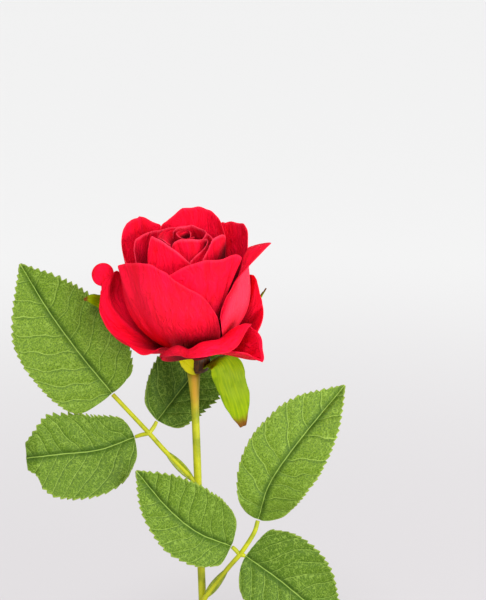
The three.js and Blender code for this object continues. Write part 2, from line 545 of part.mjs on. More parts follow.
function petalSheet(petal) {
  const points = [];
  const steps = RIB_STEPS + (petal.roll ? ROLL_STEPS : 0);
  for (let k = 0; k <= steps; k++) {
    const t = k <= RIB_STEPS ? k / RIB_STEPS : 1 + (k - RIB_STEPS) / ROLL_STEPS;
    points.push(Array.from({ length: petal.ribs + 1 }, (_, rib) => petalPoint(petal, rib / petal.ribs, t)));
  }
  return sheet(points, PETAL_THICKNESS);
}

// The petals stand out of one small core that is hidden between their roots.
function bloom() {
  const core = turned([[0, HIP_TOP + GAP], [CORE_RADIUS - 3.5, HIP_TOP + GAP], [CORE_RADIUS, 9],
    [CORE_RADIUS - 1, 14], [CORE_RADIUS - 4, CORE_TOP - 2], [0, CORE_TOP]], 16);
  return fuse([stand(core, BLOOM_ROOT, axis), ...Object.values(PETALS).map(petalSheet)]);
}

function calyx() {
  const hip = turned([[0, HIP_FOOT], [FUNNEL_RADIUS, HIP_FOOT], [HIP_RADIUS - 1.5, HIP_FOOT + 0.8],
    [HIP_RADIUS - 0.6, 0], [HIP_RADIUS, 2.5], [HIP_RADIUS, HIP_TOP], [0, HIP_TOP]], 16);
  const blades = Object.values(SEPALS).map(({ line, facing, widths }) => bladeSheet(
    { line, facing, left: widths, right: widths, fold: -6, spread: 1, teeth: false }, 9, 1, SEPAL_THICKNESS));
  return fuse([stand(hip, BLOOM_ROOT, axis), ...blades]);
}

// ---------------------------------------------------------------- the object
const rose = new THREE.Group();
function add(name, geometry, material) {
  const mesh = new THREE.Mesh(geometry, material);
  mesh.name = name;
  rose.add(mesh);
}

add('vase', vase(), GLAZE);
add('water', water(), WATER_BLUE);
add('stem', stem(), STALK_GREEN);
for (const [name, shape] of Object.entries(LEAFLETS)) add(name, leaflet(shape), LEAF_GREEN);
add('calyx', calyx(), SEPAL_GREEN);
add('bloom', bloom(), PETAL_RED);

export default rose;
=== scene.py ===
# A red rose in a plain bud vase with water: the looks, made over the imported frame.
# Lengths in this script are millimetres until a mesh is finished, when finishPiece brings it to metres.
import math
from itertools import accumulate

import bmesh
import bpy
from mathutils import Matrix, Vector, noise


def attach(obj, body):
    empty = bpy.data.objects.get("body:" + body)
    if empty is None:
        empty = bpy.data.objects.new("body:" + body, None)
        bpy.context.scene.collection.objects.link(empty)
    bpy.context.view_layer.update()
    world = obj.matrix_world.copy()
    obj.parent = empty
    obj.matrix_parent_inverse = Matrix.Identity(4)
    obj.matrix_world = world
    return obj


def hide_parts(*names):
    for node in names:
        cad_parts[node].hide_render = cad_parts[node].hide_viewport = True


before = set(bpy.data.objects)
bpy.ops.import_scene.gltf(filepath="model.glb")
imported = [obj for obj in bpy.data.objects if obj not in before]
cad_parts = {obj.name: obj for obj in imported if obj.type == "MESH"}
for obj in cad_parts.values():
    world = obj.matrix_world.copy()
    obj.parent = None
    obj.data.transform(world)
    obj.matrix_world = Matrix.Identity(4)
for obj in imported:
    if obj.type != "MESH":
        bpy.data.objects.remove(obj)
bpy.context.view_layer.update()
print("frame loaded")


# Tools for materials.

def hexColor(code):  # an sRGB hex value as the linear colour that a shader takes
    channels = [int(code[k:k + 2], 16) / 255 for k in (1, 3, 5)]
    return [c / 12.92 if c <= 0.04045 else ((c + 0.055) / 1.055) ** 2.4 for c in channels] + [1]


def setInputs(tree, node, inputs):  # an input is another node's output, a hex colour or a plain value
    for name, value in inputs.items():
        if isinstance(value, bpy.types.NodeSocket):
            tree.links.new(value, node.inputs[name])
        else:
            node.inputs[name].default_value = hexColor(value) if isinstance(value, str) else value


def addNode(tree, kind, inputs, output=0, **settings):  # gives the output that the next node takes
    node = tree.nodes.new("ShaderNode" + kind)
    for name, value in settings.items():
        setattr(node, name, value)
    setInputs(tree, node, inputs)
    return node.outputs[output]


def newMaterial(name):
    material = bpy.data.materials.new(name)
    material.use_nodes = True
    return material, material.node_tree, material.node_tree.nodes["Principled BSDF"]


def paint(tree, shader, color, coats, inputs):  # each coat covers its share of the colour that is under it
    for share, coat in coats:
        color = addNode(tree, "Mix", {"Factor": share, 6: color, 7: coat}, 2, data_type="RGBA")
    setInputs(tree, shader, {"Base Color": color, **inputs})


def stretchedNoise(tree, place, scale, **inputs):
    stretched = addNode(tree, "Mapping", {"Vector": place, "Scale": scale})
    return addNode(tree, "TexNoise", {"Vector": stretched, "Scale": 1, **inputs})


def clothScale(width, length):  # a pattern's millimetres on a UV map, where 1 stands for 100 mm
    return 100 / width, 100 / length, 1


def makeMottled(name, color, coat, grains, detail, finish):  # two tones; grains in a metre along X, Y and Z
    material, tree, shader = newMaterial(name)
    mottle = stretchedNoise(tree, addNode(tree, "TexCoord", {}, "Object"), grains, Detail=detail)
    share = addNode(tree, "MapRange", {"Value": mottle, "From Min": 0.35, "From Max": 0.65})
    bump = addNode(tree, "Bump", {"Height": mottle, "Strength": 0.3, "Distance": 0.0003})
    paint(tree, shader, color, [(share, coat)], {"Normal": bump, **finish})
    return material


# Tools for lines and meshes.

def through(points, t):  # a smooth run through the points, as Catmull and Rom's spline
    last = len(points) - 1
    i = min(int(t * last), last - 1)
    f = t * last - i
    before = points[i - 1] if i > 0 else [2 * a - b for a, b in zip(points[0], points[1])]
    after = points[i + 2] if i + 2 <= last else [2 * a - b for a, b in zip(points[last], points[last - 1])]
    return [0.5 * (2 * b + (c - a) * f + (2 * a - 5 * b + 4 * c - d) * f * f
                   + (3 * b - a - 3 * c + d) * f ** 3)
            for a, b, c, d in zip(before, points[i], points[i + 1], after)]


def along(value, t):  # a value that may change along a blade
    return through([(v,) for v in value], t)[0] if isinstance(value, (list, tuple)) else value


def pathRuns(pointAt, steps):  # the running lengths of a line that is given as a function of 0 to 1
    points = [Vector(pointAt(k / steps)) for k in range(steps + 1)]
    return list(accumulate(((b - a).length for a, b in zip(points, points[1:])), initial=0))


def addObject(name, data):
    made = bpy.data.objects.new(name, data)
    bpy.context.scene.collection.objects.link(made)
    return made


def aimAlong(thing, direction):  # a camera or lamp looks along its own -Z
    thing.rotation_mode = "QUATERNION"
    thing.rotation_quaternion = direction.to_track_quat("-Z", "Y")


def meshObject(name, bm, material):
    mesh = bpy.data.meshes.new(name)
    bm.to_mesh(mesh)
    bm.free()
    mesh.materials.append(material)
    return addObject(name, mesh)


def finishPiece(name, bm, material, node):
    bmesh.ops.transform(bm, matrix=Matrix.Scale(0.001, 4), verts=bm.verts)  # to metres
    for face in bm.faces:
        face.smooth = True
    piece = meshObject(name, bm, material)
    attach(piece, "root")
    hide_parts(node)
    return piece


def thicken(piece, thickness, levels=1):  # gives a blade its wall, with rounded edges unless levels is 0
    wall = piece.modifiers.new("thickness", "SOLIDIFY")
    wall.thickness = thickness / 1000
    wall.offset = 0
    if levels:
        rounded = piece.modifiers.new("rounding", "SUBSURF")
        rounded.levels = rounded.render_levels = levels
    return wall


def flatSheet(columns, rows, *names):  # a sheet from -0.5 to 0.5, with a named value at each of its points
    bm = bmesh.new()
    bmesh.ops.create_grid(bm, x_segments=columns, y_segments=rows, size=0.5)
    return bm, [bm.verts.layers.float.new(name) for name in names]


def layUv(bm, name, places):  # places holds each point's millimetres on the flat cloth
    layer = bm.loops.layers.uv.new(name)
    for face in bm.faces:
        for loop in face.loops:
            x, y = places[loop.vert]
            loop[layer].uv = (x / 100, y / 100)


def turned(bm, profile, sides):  # a full turn round Z of [radius, height] points
    points = [bm.verts.new((radius, 0, height)) for radius, height in profile]
    edges = [bm.edges.new(pair) for pair in zip(points, points[1:])]
    bmesh.ops.spin(bm, geom=points + edges, cent=(0, 0, 0), axis=(0, 0, 1), dvec=(0, 0, 0), angle=2 * math.pi,
                   space=Matrix(), steps=sides, use_merge=True, use_normal_flip=False, use_duplicate=False)
    bmesh.ops.remove_doubles(bm, verts=bm.verts, dist=0.001)
    bmesh.ops.recalc_face_normals(bm, faces=bm.faces)


def smoothRun(points, steps, skip=0):  # points of the smooth line, without so many at each end
    return [through(points, k / steps) for k in range(skip, steps + 1 - skip)]


def stand(bm, foot, direction):  # puts what was made along Z on a point, along a direction
    turn = Vector((0, 0, 1)).rotation_difference(Vector(direction)).to_matrix().to_4x4()
    bmesh.ops.transform(bm, matrix=Matrix.Translation(foot) @ turn, verts=bm.verts)


def ringEdges(edges, ring):
    return [edge for edge in edges if edge.verts[0] in ring and edge.verts[1] in ring]


def sweep(bm, line, radii, sides, rings):  # a closed round bar along a smooth line
    start = set(bm.faces)
    around = bmesh.ops.create_circle(bm, segments=sides, radius=1, cap_ends=True)["verts"]
    unit = {vert: vert.co.copy() for vert in around}
    edges = ringEdges(bm.edges, unit)
    side = Vector((1, 0, 0))
    for k in range(rings + 1):
        run = k / rings
        centre, before, after = (
            Vector(through(line, max(0, min(run + step, 1)))) for step in (0, -0.01, 0.01))
        ahead = (after - before).normalized()
        side = (side - ahead * side.dot(ahead)).normalized()
        cross = ahead.cross(side)
        if k:
            made = bmesh.ops.extrude_edge_only(bm, edges=edges)["geom"]
            fresh = [item for item in made if isinstance(item, bmesh.types.BMVert)]
            unit = {new: unit[edge.other_vert(new)] for new in fresh for edge in new.link_edges
                    if edge.other_vert(new) in unit}
            edges = ringEdges([item for item in made if isinstance(item, bmesh.types.BMEdge)], unit)
        radius = along(radii, run)
        for vert, at in unit.items():
            vert.co = centre + (side * at.x + cross * at.y) * radius
    bmesh.ops.contextual_create(bm, geom=edges)
    bmesh.ops.recalc_face_normals(bm, faces=[face for face in bm.faces if face not in start])


# Camera, light and floor.

view = {
    "lens": 85, "sensor": 36, "imageHeight": 600,
    "elevation": 13, "aim": (17.5, 0, 355),
    "scale": 0.5,  # mm to a pixel in the plane through the stem
    "clipEnd": 500,
}
elevation = math.radians(view["elevation"])
viewDirection = Vector((0, math.cos(elevation), -math.sin(elevation)))
viewDistance = view["scale"] * view["imageHeight"] / view["sensor"] * view["lens"]
cameraData = bpy.data.cameras.new("camera")
cameraData.lens = view["lens"]
cameraData.sensor_width = view["sensor"]
cameraData.clip_end = view["clipEnd"]
camera = addObject("camera", cameraData)
camera.location = (Vector(view["aim"]) - viewDirection * viewDistance) / 1000
aimAlong(camera, viewDirection)
bpy.context.scene.camera = camera
bpy.context.scene.view_settings.view_transform = "Standard"

studio = {  # places and sizes in metres
    "worldColor": "#ffffff", "worldStrength": 0.66,
    "sunFrom": (-0.1, -0.92, 1.0), "sunPower": 2.3, "sunSpread": 22,
    "fillPlace": (1.05, -1.05, 0.42), "fillSize": 0.7, "fillPower": 19,
    "aim": (0, 0, 0.33),
    "floorSize": 200, "floorNear": "#cac7c9", "floorFar": "#e0e0e0", "floorBlend": (0.3, 2),
}


def makeStudio():
    world = bpy.data.worlds.new("studio")
    world.use_nodes = True
    setInputs(world.node_tree, world.node_tree.nodes["Background"], {
        "Color": studio["worldColor"], "Strength": studio["worldStrength"]})
    bpy.context.scene.world = world
    aim = Vector(studio["aim"])
    sun = bpy.data.lights.new("softSun", "SUN")
    sun.energy = studio["sunPower"]
    sun.angle = math.radians(studio["sunSpread"])
    fill = bpy.data.lights.new("fill", "AREA")
    fill.size = studio["fillSize"]
    fill.energy = studio["fillPower"]
    for lamp, place in ((sun, aim + Vector(studio["sunFrom"])), (fill, Vector(studio["fillPlace"]))):
        lampObject = addObject(lamp.name, lamp)
        lampObject.location = place
        aimAlong(lampObject, aim - place)
    # Matt white backdrop paper, a little greyer near the vase: painted shade where the backdrop gets less
    # light.
    material, tree, shader = newMaterial("paperSweep")
    near, far = studio["floorBlend"]
    place = addNode(tree, "TexCoord", {}, "Object")
    distance = addNode(tree, "VectorMath", {0: place}, "Value", operation="LENGTH")
    blend = addNode(tree, "MapRange", {"Value": distance, "From Min": near, "From Max": far},
                    interpolation_type="SMOOTHSTEP")
    paint(tree, shader, studio["floorNear"], [(blend, studio["floorFar"])], {
        "Roughness": 0.95, "Specular IOR Level": 0.1})
    bm = bmesh.new()
    bmesh.ops.create_grid(bm, x_segments=1, y_segments=1, size=studio["floorSize"] / 2)
    meshObject("floor", bm, material)


makeStudio()
print("studio ready")


# Bloom: twenty separate petals round a hidden heart.

bloomPlace = {"root": (-5.2, -1, 321), "nod": 10, "lean": 4}  # degrees to the front and to the left
nod, lean = math.radians(bloomPlace["nod"]), math.radians(bloomPlace["lean"])
bloomAxis = Vector((-math.sin(lean) * math.cos(nod), -math.sin(nod), math.cos(lean) * math.cos(nod)))
bloomRight = (Vector((1, 0, 0)) - bloomAxis * bloomAxis.x).normalized()
bloomBack = bloomAxis.cross(bloomRight)


def bloomPoint(turn, radius, height):
    angle = math.radians(turn)
    sideways = bloomRight * math.cos(angle) + bloomBack * math.sin(angle)
    return Vector(bloomPlace["root"]) + bloomAxis * height + sideways * radius


# For each petal, rim has the turn, radius and height of points along its edge, and root has its middle turn,
# its share of the rim's spread, its radius and its height. rise is the angle at the root and flare the one at
# the rim, and reach and settle say how far each is felt. roll is the width that turns over at the rim, and
# bend its angle. The darkening depths say between which distances below the rim the colour deepens: partly
# the dye darkening towards the root, and partly painted shade in the creases and hollows between the petals.
# A petal's highlight share paints a paler pink over a lit face, a painted highlight.
petals = {
    "heartTube": {
        "rim": [[-150, 2.9, 67.5], [-60, 2.7, 69.4], [20, 2.6, 71.2], [100, 2.7, 71.8], [170, 3.1, 71.4],
                [230, 3.6, 70.6], [290, 4.2, 70.4], [330, 5, 70]], "root": [40, 1, 1.8, 12],
        "centre": [-0.4, 0.2], "rise": 70, "reach": 0.4, "settle": 0.4, "flare": [0, 0, 0, 10, 35, 30, 5, 0],
        "roll": [0.4, 0.4, 0.4, 0.8, 1.6, 1.2, 0.4, 0.4], "bend": 60, "paleLip": 1, "dyeAndShadeDepths": (-0.6, 2)},
    "innerRight": {
        "rim": [[-60, 7.6, 66], [-30, 8.6, 69.8], [2, 9.3, 71.3], [30, 9.5, 71.8], [52, 9.5, 72],
                [75, 9.5, 72.5], [95, 9.5, 72.6], [114, 9.4, 72.3], [142, 8.6, 71]],
        "root": [40, 0.7, 3.5, 8], "rise": 45, "flare": -4, "paleLip": 1, "dyeAndShadeDepths": (2, 11)},
    "innerLeft": {
        "rim": [[100, 9.6, 68], [125, 10.6, 70.6], [150, 11.4, 70.8], [180, 11.8, 70.4], [205, 11.4, 70.2],
                [226, 10.8, 69]], "root": [165, 0.7, 3.5, 8], "rise": 45, "flare": [0, 10, 40, 50, 20, 0],
        "roll": [0.4, 0.6, 2.2, 2.6, 1.2, 0.4], "bend": 70, "paleLip": 1, "dyeAndShadeDepths": (1, 9), "paintedHighlight": 0.5},
    "innerFront": {
        "rim": [[224, 10.6, 65], [233, 10.2, 70.4], [251, 9.8, 72.4], [267, 9.8, 72.8], [284, 9.8, 72.6],
                [305, 9.8, 71.6], [335, 9.9, 70], [350, 10.4, 69.2], [334, 10.8, 67.8], [308, 11.2, 66],
                [289, 12, 64.4], [276, 13, 62.2]], "root": [270, 0.4, 3.5, 8], "rise": 40, "flare": -6,
        "ease": [1, 1, 1, 1, 1.4, 2, 3.5, 4, 4, 4], "paleLip": 1,
        "dyeAndShadeDepths": ([3, 3, 3, 3, 3, 2, -1, -1, 2, 3, 3, 3], [24, 24, 24, 22, 20, 16, 5, 3, 12, 24, 24, 24])},
    "ringRight": {
        "rim": [[297, 17, 63.3], [307, 17, 66.4], [314.5, 17, 70], [321, 17.2, 72.6], [332, 18, 73],
                [350, 18.8, 71.4], [361, 19.4, 68.4], [357, 18.6, 65.6], [342, 17.8, 65.4],
                [332, 17.5, 64.4], [334, 18, 61]], "root": [322, 0.3, 4, 8], "rise": 35,
        "flare": [-6, -4, -2, 4, 8, 6, 0, 0], "ease": [1, 1, 1, 1, 1.5, 3.5, 5, 6, 6, 6], "paleLip": 1,
        "dyeAndShadeDepths": ([1, 1, 2, 3, 3, 2, 1, 0, 1, 2, 2], [11, 14, 17, 17, 13, 8, 5, 4, 8, 10, 10])},
    "ringBack": {
        "rim": [[20, 15.5, 62], [50, 16, 66], [80, 16, 69], [105, 16, 70.4], [120, 16.2, 70.6],
                [136, 17, 70.6], [145, 18, 70.4]], "root": [85, 0.7, 4, 8], "rise": 35, "flare": 0,
        "paleLip": 1, "dyeAndShadeDepths": (1, 10)},
    "ringLeft": {
        "rim": [[208, 27, 54], [204, 27, 61], [199, 26.6, 65.6], [192, 26.2, 68], [182, 25.6, 70],
                [172, 24.6, 70.4], [162, 23, 70.2], [152, 21.4, 70.2], [140, 19.6, 70.4], [128, 18, 70]],
        "root": [165, 0.7, 4, 8], "rise": 30, "flare": [8, 12, 10, 6, 2, 0], "paleLip": 1,
        "dyeAndShadeDepths": (3, 30)},
    "midLeft": {
        "rim": [[217, 25, 57], [223.5, 25, 65], [226, 24.6, 73], [229.3, 23.2, 78.2], [234.9, 22, 76.8],
                [247.2, 20.4, 73.9], [256.6, 19.6, 70.6], [270.9, 19.4, 65.8], [279, 19.6, 62.4],
                [287, 20.5, 54]], "root": [250, 0.7, 4, 8], "rise": 33, "flare": -5, "paleLip": 1,
        "dyeAndShadeDepths": (8, 34)},
    "backLeft": {
        "rim": [[118, 30, 67.6], [128, 31, 71.3], [136, 32, 74.5], [138.6, 32.3, 75.4], [142.3, 32.5, 74.7],
                [151, 33, 74.9], [155, 33.2, 74.3], [160, 33.6, 71.9], [165, 33.6, 67], [171, 32.4, 60],
                [176, 30, 54]], "root": [140, 0.6, 4.5, 7], "rise": 33, "flare": [6, 12, 4],
        "dyeAndShadeDepths": (26, 64)},
    "backCentre": {
        "rim": [[126, 26.5, 63], [119.5, 28, 68.4], [112, 28.5, 70], [105, 29, 72], [97.5, 29.5, 74.1],
                [92, 30, 75], [84, 30, 75.1], [76, 30, 74.7], [68.7, 29.5, 73.6], [62.4, 29, 71.9],
                [55, 28.5, 69], [46, 26.5, 61]], "root": [85, 0.6, 4.5, 7], "rise": 33, "flare": [4, 8, 4],
        "dyeAndShadeDepths": (8, 32)},
    "backRight": {
        "rim": [[62, 28, 64], [54, 29, 68], [50, 29.5, 68.6], [44, 30, 68.8], [34.5, 31, 69.3],
                [26.5, 31.5, 69.8], [23.5, 31.5, 68], [19, 30.5, 63.4], [8, 29, 58], [-2, 28.4, 52]],
        "root": [32, 0.6, 4.5, 7], "rise": 33, "flare": [4, 6, 4], "dyeAndShadeDepths": (15, 31)},
    "frontRight": {
        "rim": [[250, 28, 60], [268, 28.5, 65.3], [284.8, 28.5, 67.6], [293.7, 28.6, 67.5],
                [305.6, 29, 66.4], [318.4, 29.7, 66.5], [324, 30.6, 67], [328, 32, 64.4], [320, 30, 62.4],
                [311, 28.2, 58.7], [304, 27.8, 54], [299, 27.6, 49.1], [295, 27.4, 42], [293.5, 27.2, 38.3]],
        "root": [283, 0.35, 4.5, 8], "rise": 30, "reach": 0.42,
        "flare": [-4, -4, -4, -2, 0, 2, 8, 16, 10, 4, 0], "ease": [1, 1, 1, 1.8, 3.2, 4.2, 3.8, 3, 3, 3],
        "dyeAndShadeDepths": ([8, 8, 6, -8, -24, -30], [46, 46, 42, 28, 18, 14])},
    "right": {
        "rim": [[298, 31, 37], [303.5, 31, 44], [311, 31, 50], [319.5, 31.2, 54.4], [327, 31.4, 58.4],
                [339, 31.5, 64.6], [356, 30.5, 63], [370, 30, 56], [384, 29, 47]], "root": [343, 0.6, 4.5, 7],
        "rise": 30, "reach": [0.58, 0.58, 0.58, 0.6, 0.64, 0.68, 0.7],
        "settle": [0.35, 0.3, 0.2, 0.14, 0.1, 0.1, 0.25, 0.35], "flare": [-2, 0, 8, 25, 45, 55, 15, 0],
        "roll": [0.5, 1.2, 3.2, 5, 8, 14, 2, 0.4, 0.4], "bend": [60, 70, 60, 40, 30, 25, 20], "paintedHighlight": 0.95,
        "dyeAndShadeDepths": ([4, 12, 24, 30, 34, 34, 34], [30, 48, 62, 70, 74, 74, 74])},
    "frontLeft": {
        "rim": [[196, 33.6, 46], [202.5, 34.4, 54], [208.5, 35.2, 60.2], [210, 37.6, 64.8],
                [215.5, 36.6, 66.4], [224, 35.6, 67.8], [233.2, 35, 68.9], [240.8, 34, 69.3],
                [247.5, 33, 66.8], [255.1, 32, 63.6], [263, 31.5, 59.6], [273, 31.5, 55.6],
                [282, 31.5, 51.8], [287.2, 31.5, 47.5], [291.4, 31.8, 43.2], [294.8, 32, 38.7],
                [296.4, 31.6, 32]], "root": [240, 0.6, 4.5, 7], "rise": 30, "reach": 0.45,
        "flare": [2, 4, 14, 2, -3, -4, -4, -2, 0],
        "dyeAndShadeDepths": ([44, 44, 38, 24, 4, -34], [90, 90, 86, 68, 46, 26]), "paintedHighlight": 0.12},
    "farRight": {
        "rim": [[30, 29, 40], [16, 30, 45.5], [5, 32, 46.8], [4, 33, 42.8], [4, 34, 36], [4, 35, 30],
                [-8, 35, 26], [-20, 34, 22]], "root": [5, 0.6, 5, 7], "rise": 30, "flare": [0, 8, 10, 20],
        "dyeAndShadeDepths": (0, 34)},
    "lowerFront": {
        "rim": [[243.4, 34.2, 19.6], [246.9, 35, 22.6], [250.9, 35.3, 25.2], [257.8, 35.5, 27.5],
                [262, 35.6, 26.6], [266, 35.6, 25.2], [270.5, 36, 26.2], [277.7, 36, 28.9],
                [286.4, 36, 29.4], [295.6, 35.6, 28.6], [304.1, 35.2, 30.1], [311.5, 34.8, 32],
                [316.7, 34.6, 32], [323.8, 34.4, 30.4]], "root": [285, 0.6, 5, 6], "rise": 35, "reach": 0.35,
        "settle": 0.25, "flare": [40, 50, 70, 80, 80, 80, 80, 80, 80, 75, 60, 40],
        "roll": [0.4, 2.5, 4.5, 5.5, 4.5, 4, 5.5, 8.5, 9, 8.5, 8, 6, 4, 2], "bend": 100,
        "dyeAndShadeDepths": ([-20, -20, -14, 0, 6, 8], [20, 20, 24, 34, 44, 46])},
    "lowerRight": {
        "rim": [[297.7, 38, 22.9], [306.7, 43, 21.4], [311.2, 46, 18.9], [314, 47.5, 17.8],
                [317, 43.5, 22.4], [321, 39.5, 26.6], [323, 36.5, 28.5], [321, 34, 31]],
        "root": [315, 0.6, 5, 6.5], "rise": 30, "flare": [60, 70, 60, 50],
        "roll": [0.4, 0.4, 0.4, 2, 6, 7, 5, 0.4], "bend": 200, "dyeAndShadeDepths": (24, 60)},
    "left": {
        "rim": [[242, 33, 24.2], [233, 40, 23.2], [219.5, 41.5, 27.4], [205, 43.5, 29.5], [196, 45, 34],
                [193, 46, 40], [193, 44.2, 47.5], [192.5, 40.5, 52.4], [191, 38, 54], [187, 37.5, 54],
                [184, 36.6, 54.4], [180, 35.6, 54.4], [170, 34, 50], [155, 32, 38]], "root": [205, 0.6, 5, 7],
        "rise": 30, "flare": [78, 68, 46, 22, 10, 0, -10, -25, -30, -30, -20, -5, 0],
        "roll": [0.4, 0.4, 0.4, 0.4, 0.4, 0.4, 0.4, 8, 24, 24, 5, 0.4, 0.4, 0.4], "bend": 290, "nick": 2.2,
        "dyeAndShadeDepths": ([22, 26, 36, 40], [46, 52, 68, 72])},
    "outerBackLeft": {
        "rim": [[160, 30, 40], [148, 36, 48], [132, 39, 52], [115, 39, 52], [100, 37, 48], [90, 31, 40]],
        "root": [125, 0.6, 5, 7], "rise": 30, "flare": [15, 30, 15]},
    "outerBackRight": {
        "rim": [[88, 31, 40], [78, 36, 47], [64, 38, 50], [50, 37, 49], [38, 34, 44], [30, 30, 38]],
        "root": [60, 0.6, 5, 7], "rise": 30, "flare": [15, 30, 15]},
}
petalFinish = {
    "thickness": 0.45, "ribs": 48, "steps": 36, "rollSteps": 16, "rollWidth": 6,
    "puckerDepth": 0.44, "puckerSize": (5.5, 30),  # lengthwise puckers pressed into the cloth
    "waveDepth": 1, "waveSize": (14, 40), "waveFrom": 0.45,  # soft waves of the free edge
    "lipWidth": 0.8, "lipShare": 0.45, "paleLip": 0.3, "dyeAndShadeDepths": (8, 46),  # millimetres below the rim
    "nick": 0.9, "nickLength": 6,  # the cut edge wanders
    "reach": 0.45, "settle": 0.35, "leastRoll": 0.4, "fullRoll": 3, "highlightFadesIn": 14,
    # The deep red stands partly for dye darker at the root and partly for painted shade in the creases; the
    # pale pink is a painted highlight on lit faces, and the lip colour paints the rim's highlight.
    "deepDyeAndShade": "#500006", "body": "#da001a", "light": "#f80636", "paintedHighlight": "#ff3450", "lip": "#ff4a6a",
    "sheen": "#ff2c58",
    "drifts": 9, "drift": (0.09, 0.03, 0),  # drifts in 100 mm, and how far each takes the streaks aside
    "streak": (2.3, 9), "patch": (7, 26), "tones": (0.68, 1.28), "weave": 0.35,
}


def makePetalMaterial():
    # Brushed polyester petal, dyed and heat-pressed: matt velvet with a soft pink sheen at grazing light,
    # fine pressed streaks that fan out from the root, a paler edge painted as the rim's highlight, a paler
    # pink painted as a highlight on lit faces, and a deeper red that is partly dye darker towards the root
    # and partly painted shade in the creases.
    material, tree, shader = newMaterial("velvetPetal")
    finish = petalFinish
    low, high = finish["tones"]
    place = addNode(tree, "UVMap", {}, uv_map="petal")
    drift = addNode(tree, "TexNoise", {"Vector": place, "Scale": finish["drifts"], "Detail": 2}, "Color")
    drifted = addNode(tree, "VectorMath", {0: drift, 1: finish["drift"], 2: place}, operation="MULTIPLY_ADD")
    streaks = stretchedNoise(tree, drifted, clothScale(*finish["streak"]),
                             Detail=3, Roughness=0.55, Distortion=0.9)
    patches = stretchedNoise(tree, place, clothScale(*finish["patch"]), Detail=2)
    both = addNode(tree, "Math", {0: streaks, 1: patches}, operation="ADD")
    tones = addNode(tree, "MapRange", {"Value": both, "From Min": low, "From Max": high})
    undarkened, lip, paintedHighlight = (addNode(tree, "Attribute", {}, "Fac", attribute_name=name)
                           for name in ("undarkened", "lip", "paintedHighlight"))
    # Painted shade: the deep red comes in below the given depths, partly as dye darker towards the root.
    rootShade = addNode(tree, "MapRange", {"Value": undarkened, "To Min": 1, "To Max": 0},
                        interpolation_type="SMOOTHSTEP")
    # A paler edge, painted as the rim's highlight.
    lipShare = addNode(tree, "Math", {0: lip, 1: finish["lipShare"]}, operation="MULTIPLY")
    solid = addNode(tree, "TexCoord", {}, "Object")
    weave = addNode(tree, "TexNoise", {"Vector": solid, "Scale": 1000 / finish["weave"], "Detail": 2})
    pressed = addNode(tree, "Bump", {"Height": streaks, "Strength": 0.8, "Distance": 0.0018})
    cloth = addNode(tree, "Bump", {"Height": weave, "Strength": 0.25, "Distance": 0.0002, "Normal": pressed})
    matt = addNode(tree, "MapRange", {"Value": patches, "To Min": 0.62, "To Max": 0.78})
    coats = [(tones, finish["light"]), (paintedHighlight, finish["paintedHighlight"]), (rootShade, finish["deepDyeAndShade"]),
             (lipShare, finish["lip"])]
    paint(tree, shader, finish["body"], coats, {
        "Normal": cloth, "Roughness": matt, "Specular IOR Level": 0.1,
        "Sheen Weight": 0.1, "Sheen Roughness": 0.35, "Sheen Tint": finish["sheen"]})
    return material


# u runs along the rim, and t from the root, 0, to the rim, 1, and over the roll to 2.
def petalPoint(petal, u, t):
    middle, share, rootRadius, rootHeight = petal["root"]
    turn, radius, height = through(petal["rim"], u)
    length = math.hypot(radius - rootRadius, height - rootHeight)
    rise = math.radians(petal["rise"])
    flare = math.radians(along(petal["flare"], u))
    reach = along(petal.get("reach", petalFinish["reach"]), u) * length
    settle = along(petal.get("settle", petalFinish["settle"]), u) * length
    up = max(0, min(t, 1))
    corners = [(rootRadius, rootHeight),
               (rootRadius + reach * math.cos(rise), rootHeight + reach * math.sin(rise)),
               (radius - settle * math.sin(flare), height - settle * math.cos(flare)), (radius, height)]
    weights = [(1 - up) ** 3, 3 * up * (1 - up) ** 2, 3 * up * up * (1 - up), up ** 3]
    r = sum(w * corner[0] for w, corner in zip(weights, corners))
    h = sum(w * corner[1] for w, corner in zip(weights, corners))
    ease = petal.get("ease")
    opened = share + (1 - share) * (up ** along(ease, u) if ease else math.sin(up * math.pi / 2))
    if t > 1:
        roll = along(petal["roll"], u)
        arc = max(petalFinish["leastRoll"], roll) * (t - 1)
        rolls = max(0, min(1, roll / petalFinish["fullRoll"]))
        bend = math.radians(along(petal["bend"], u)) * rolls * (t - 1)
        chord = arc * (math.sin(bend / 2) / (bend / 2) if bend else 1)
        r += chord * math.sin(flare + bend / 2)
        h += chord * math.cos(flare + bend / 2)
    across, back = petal.get("centre", (0, 0))
    return bloomPoint(middle + (turn - middle) * opened, r, h) + (bloomRight * across + bloomBack * back) * up


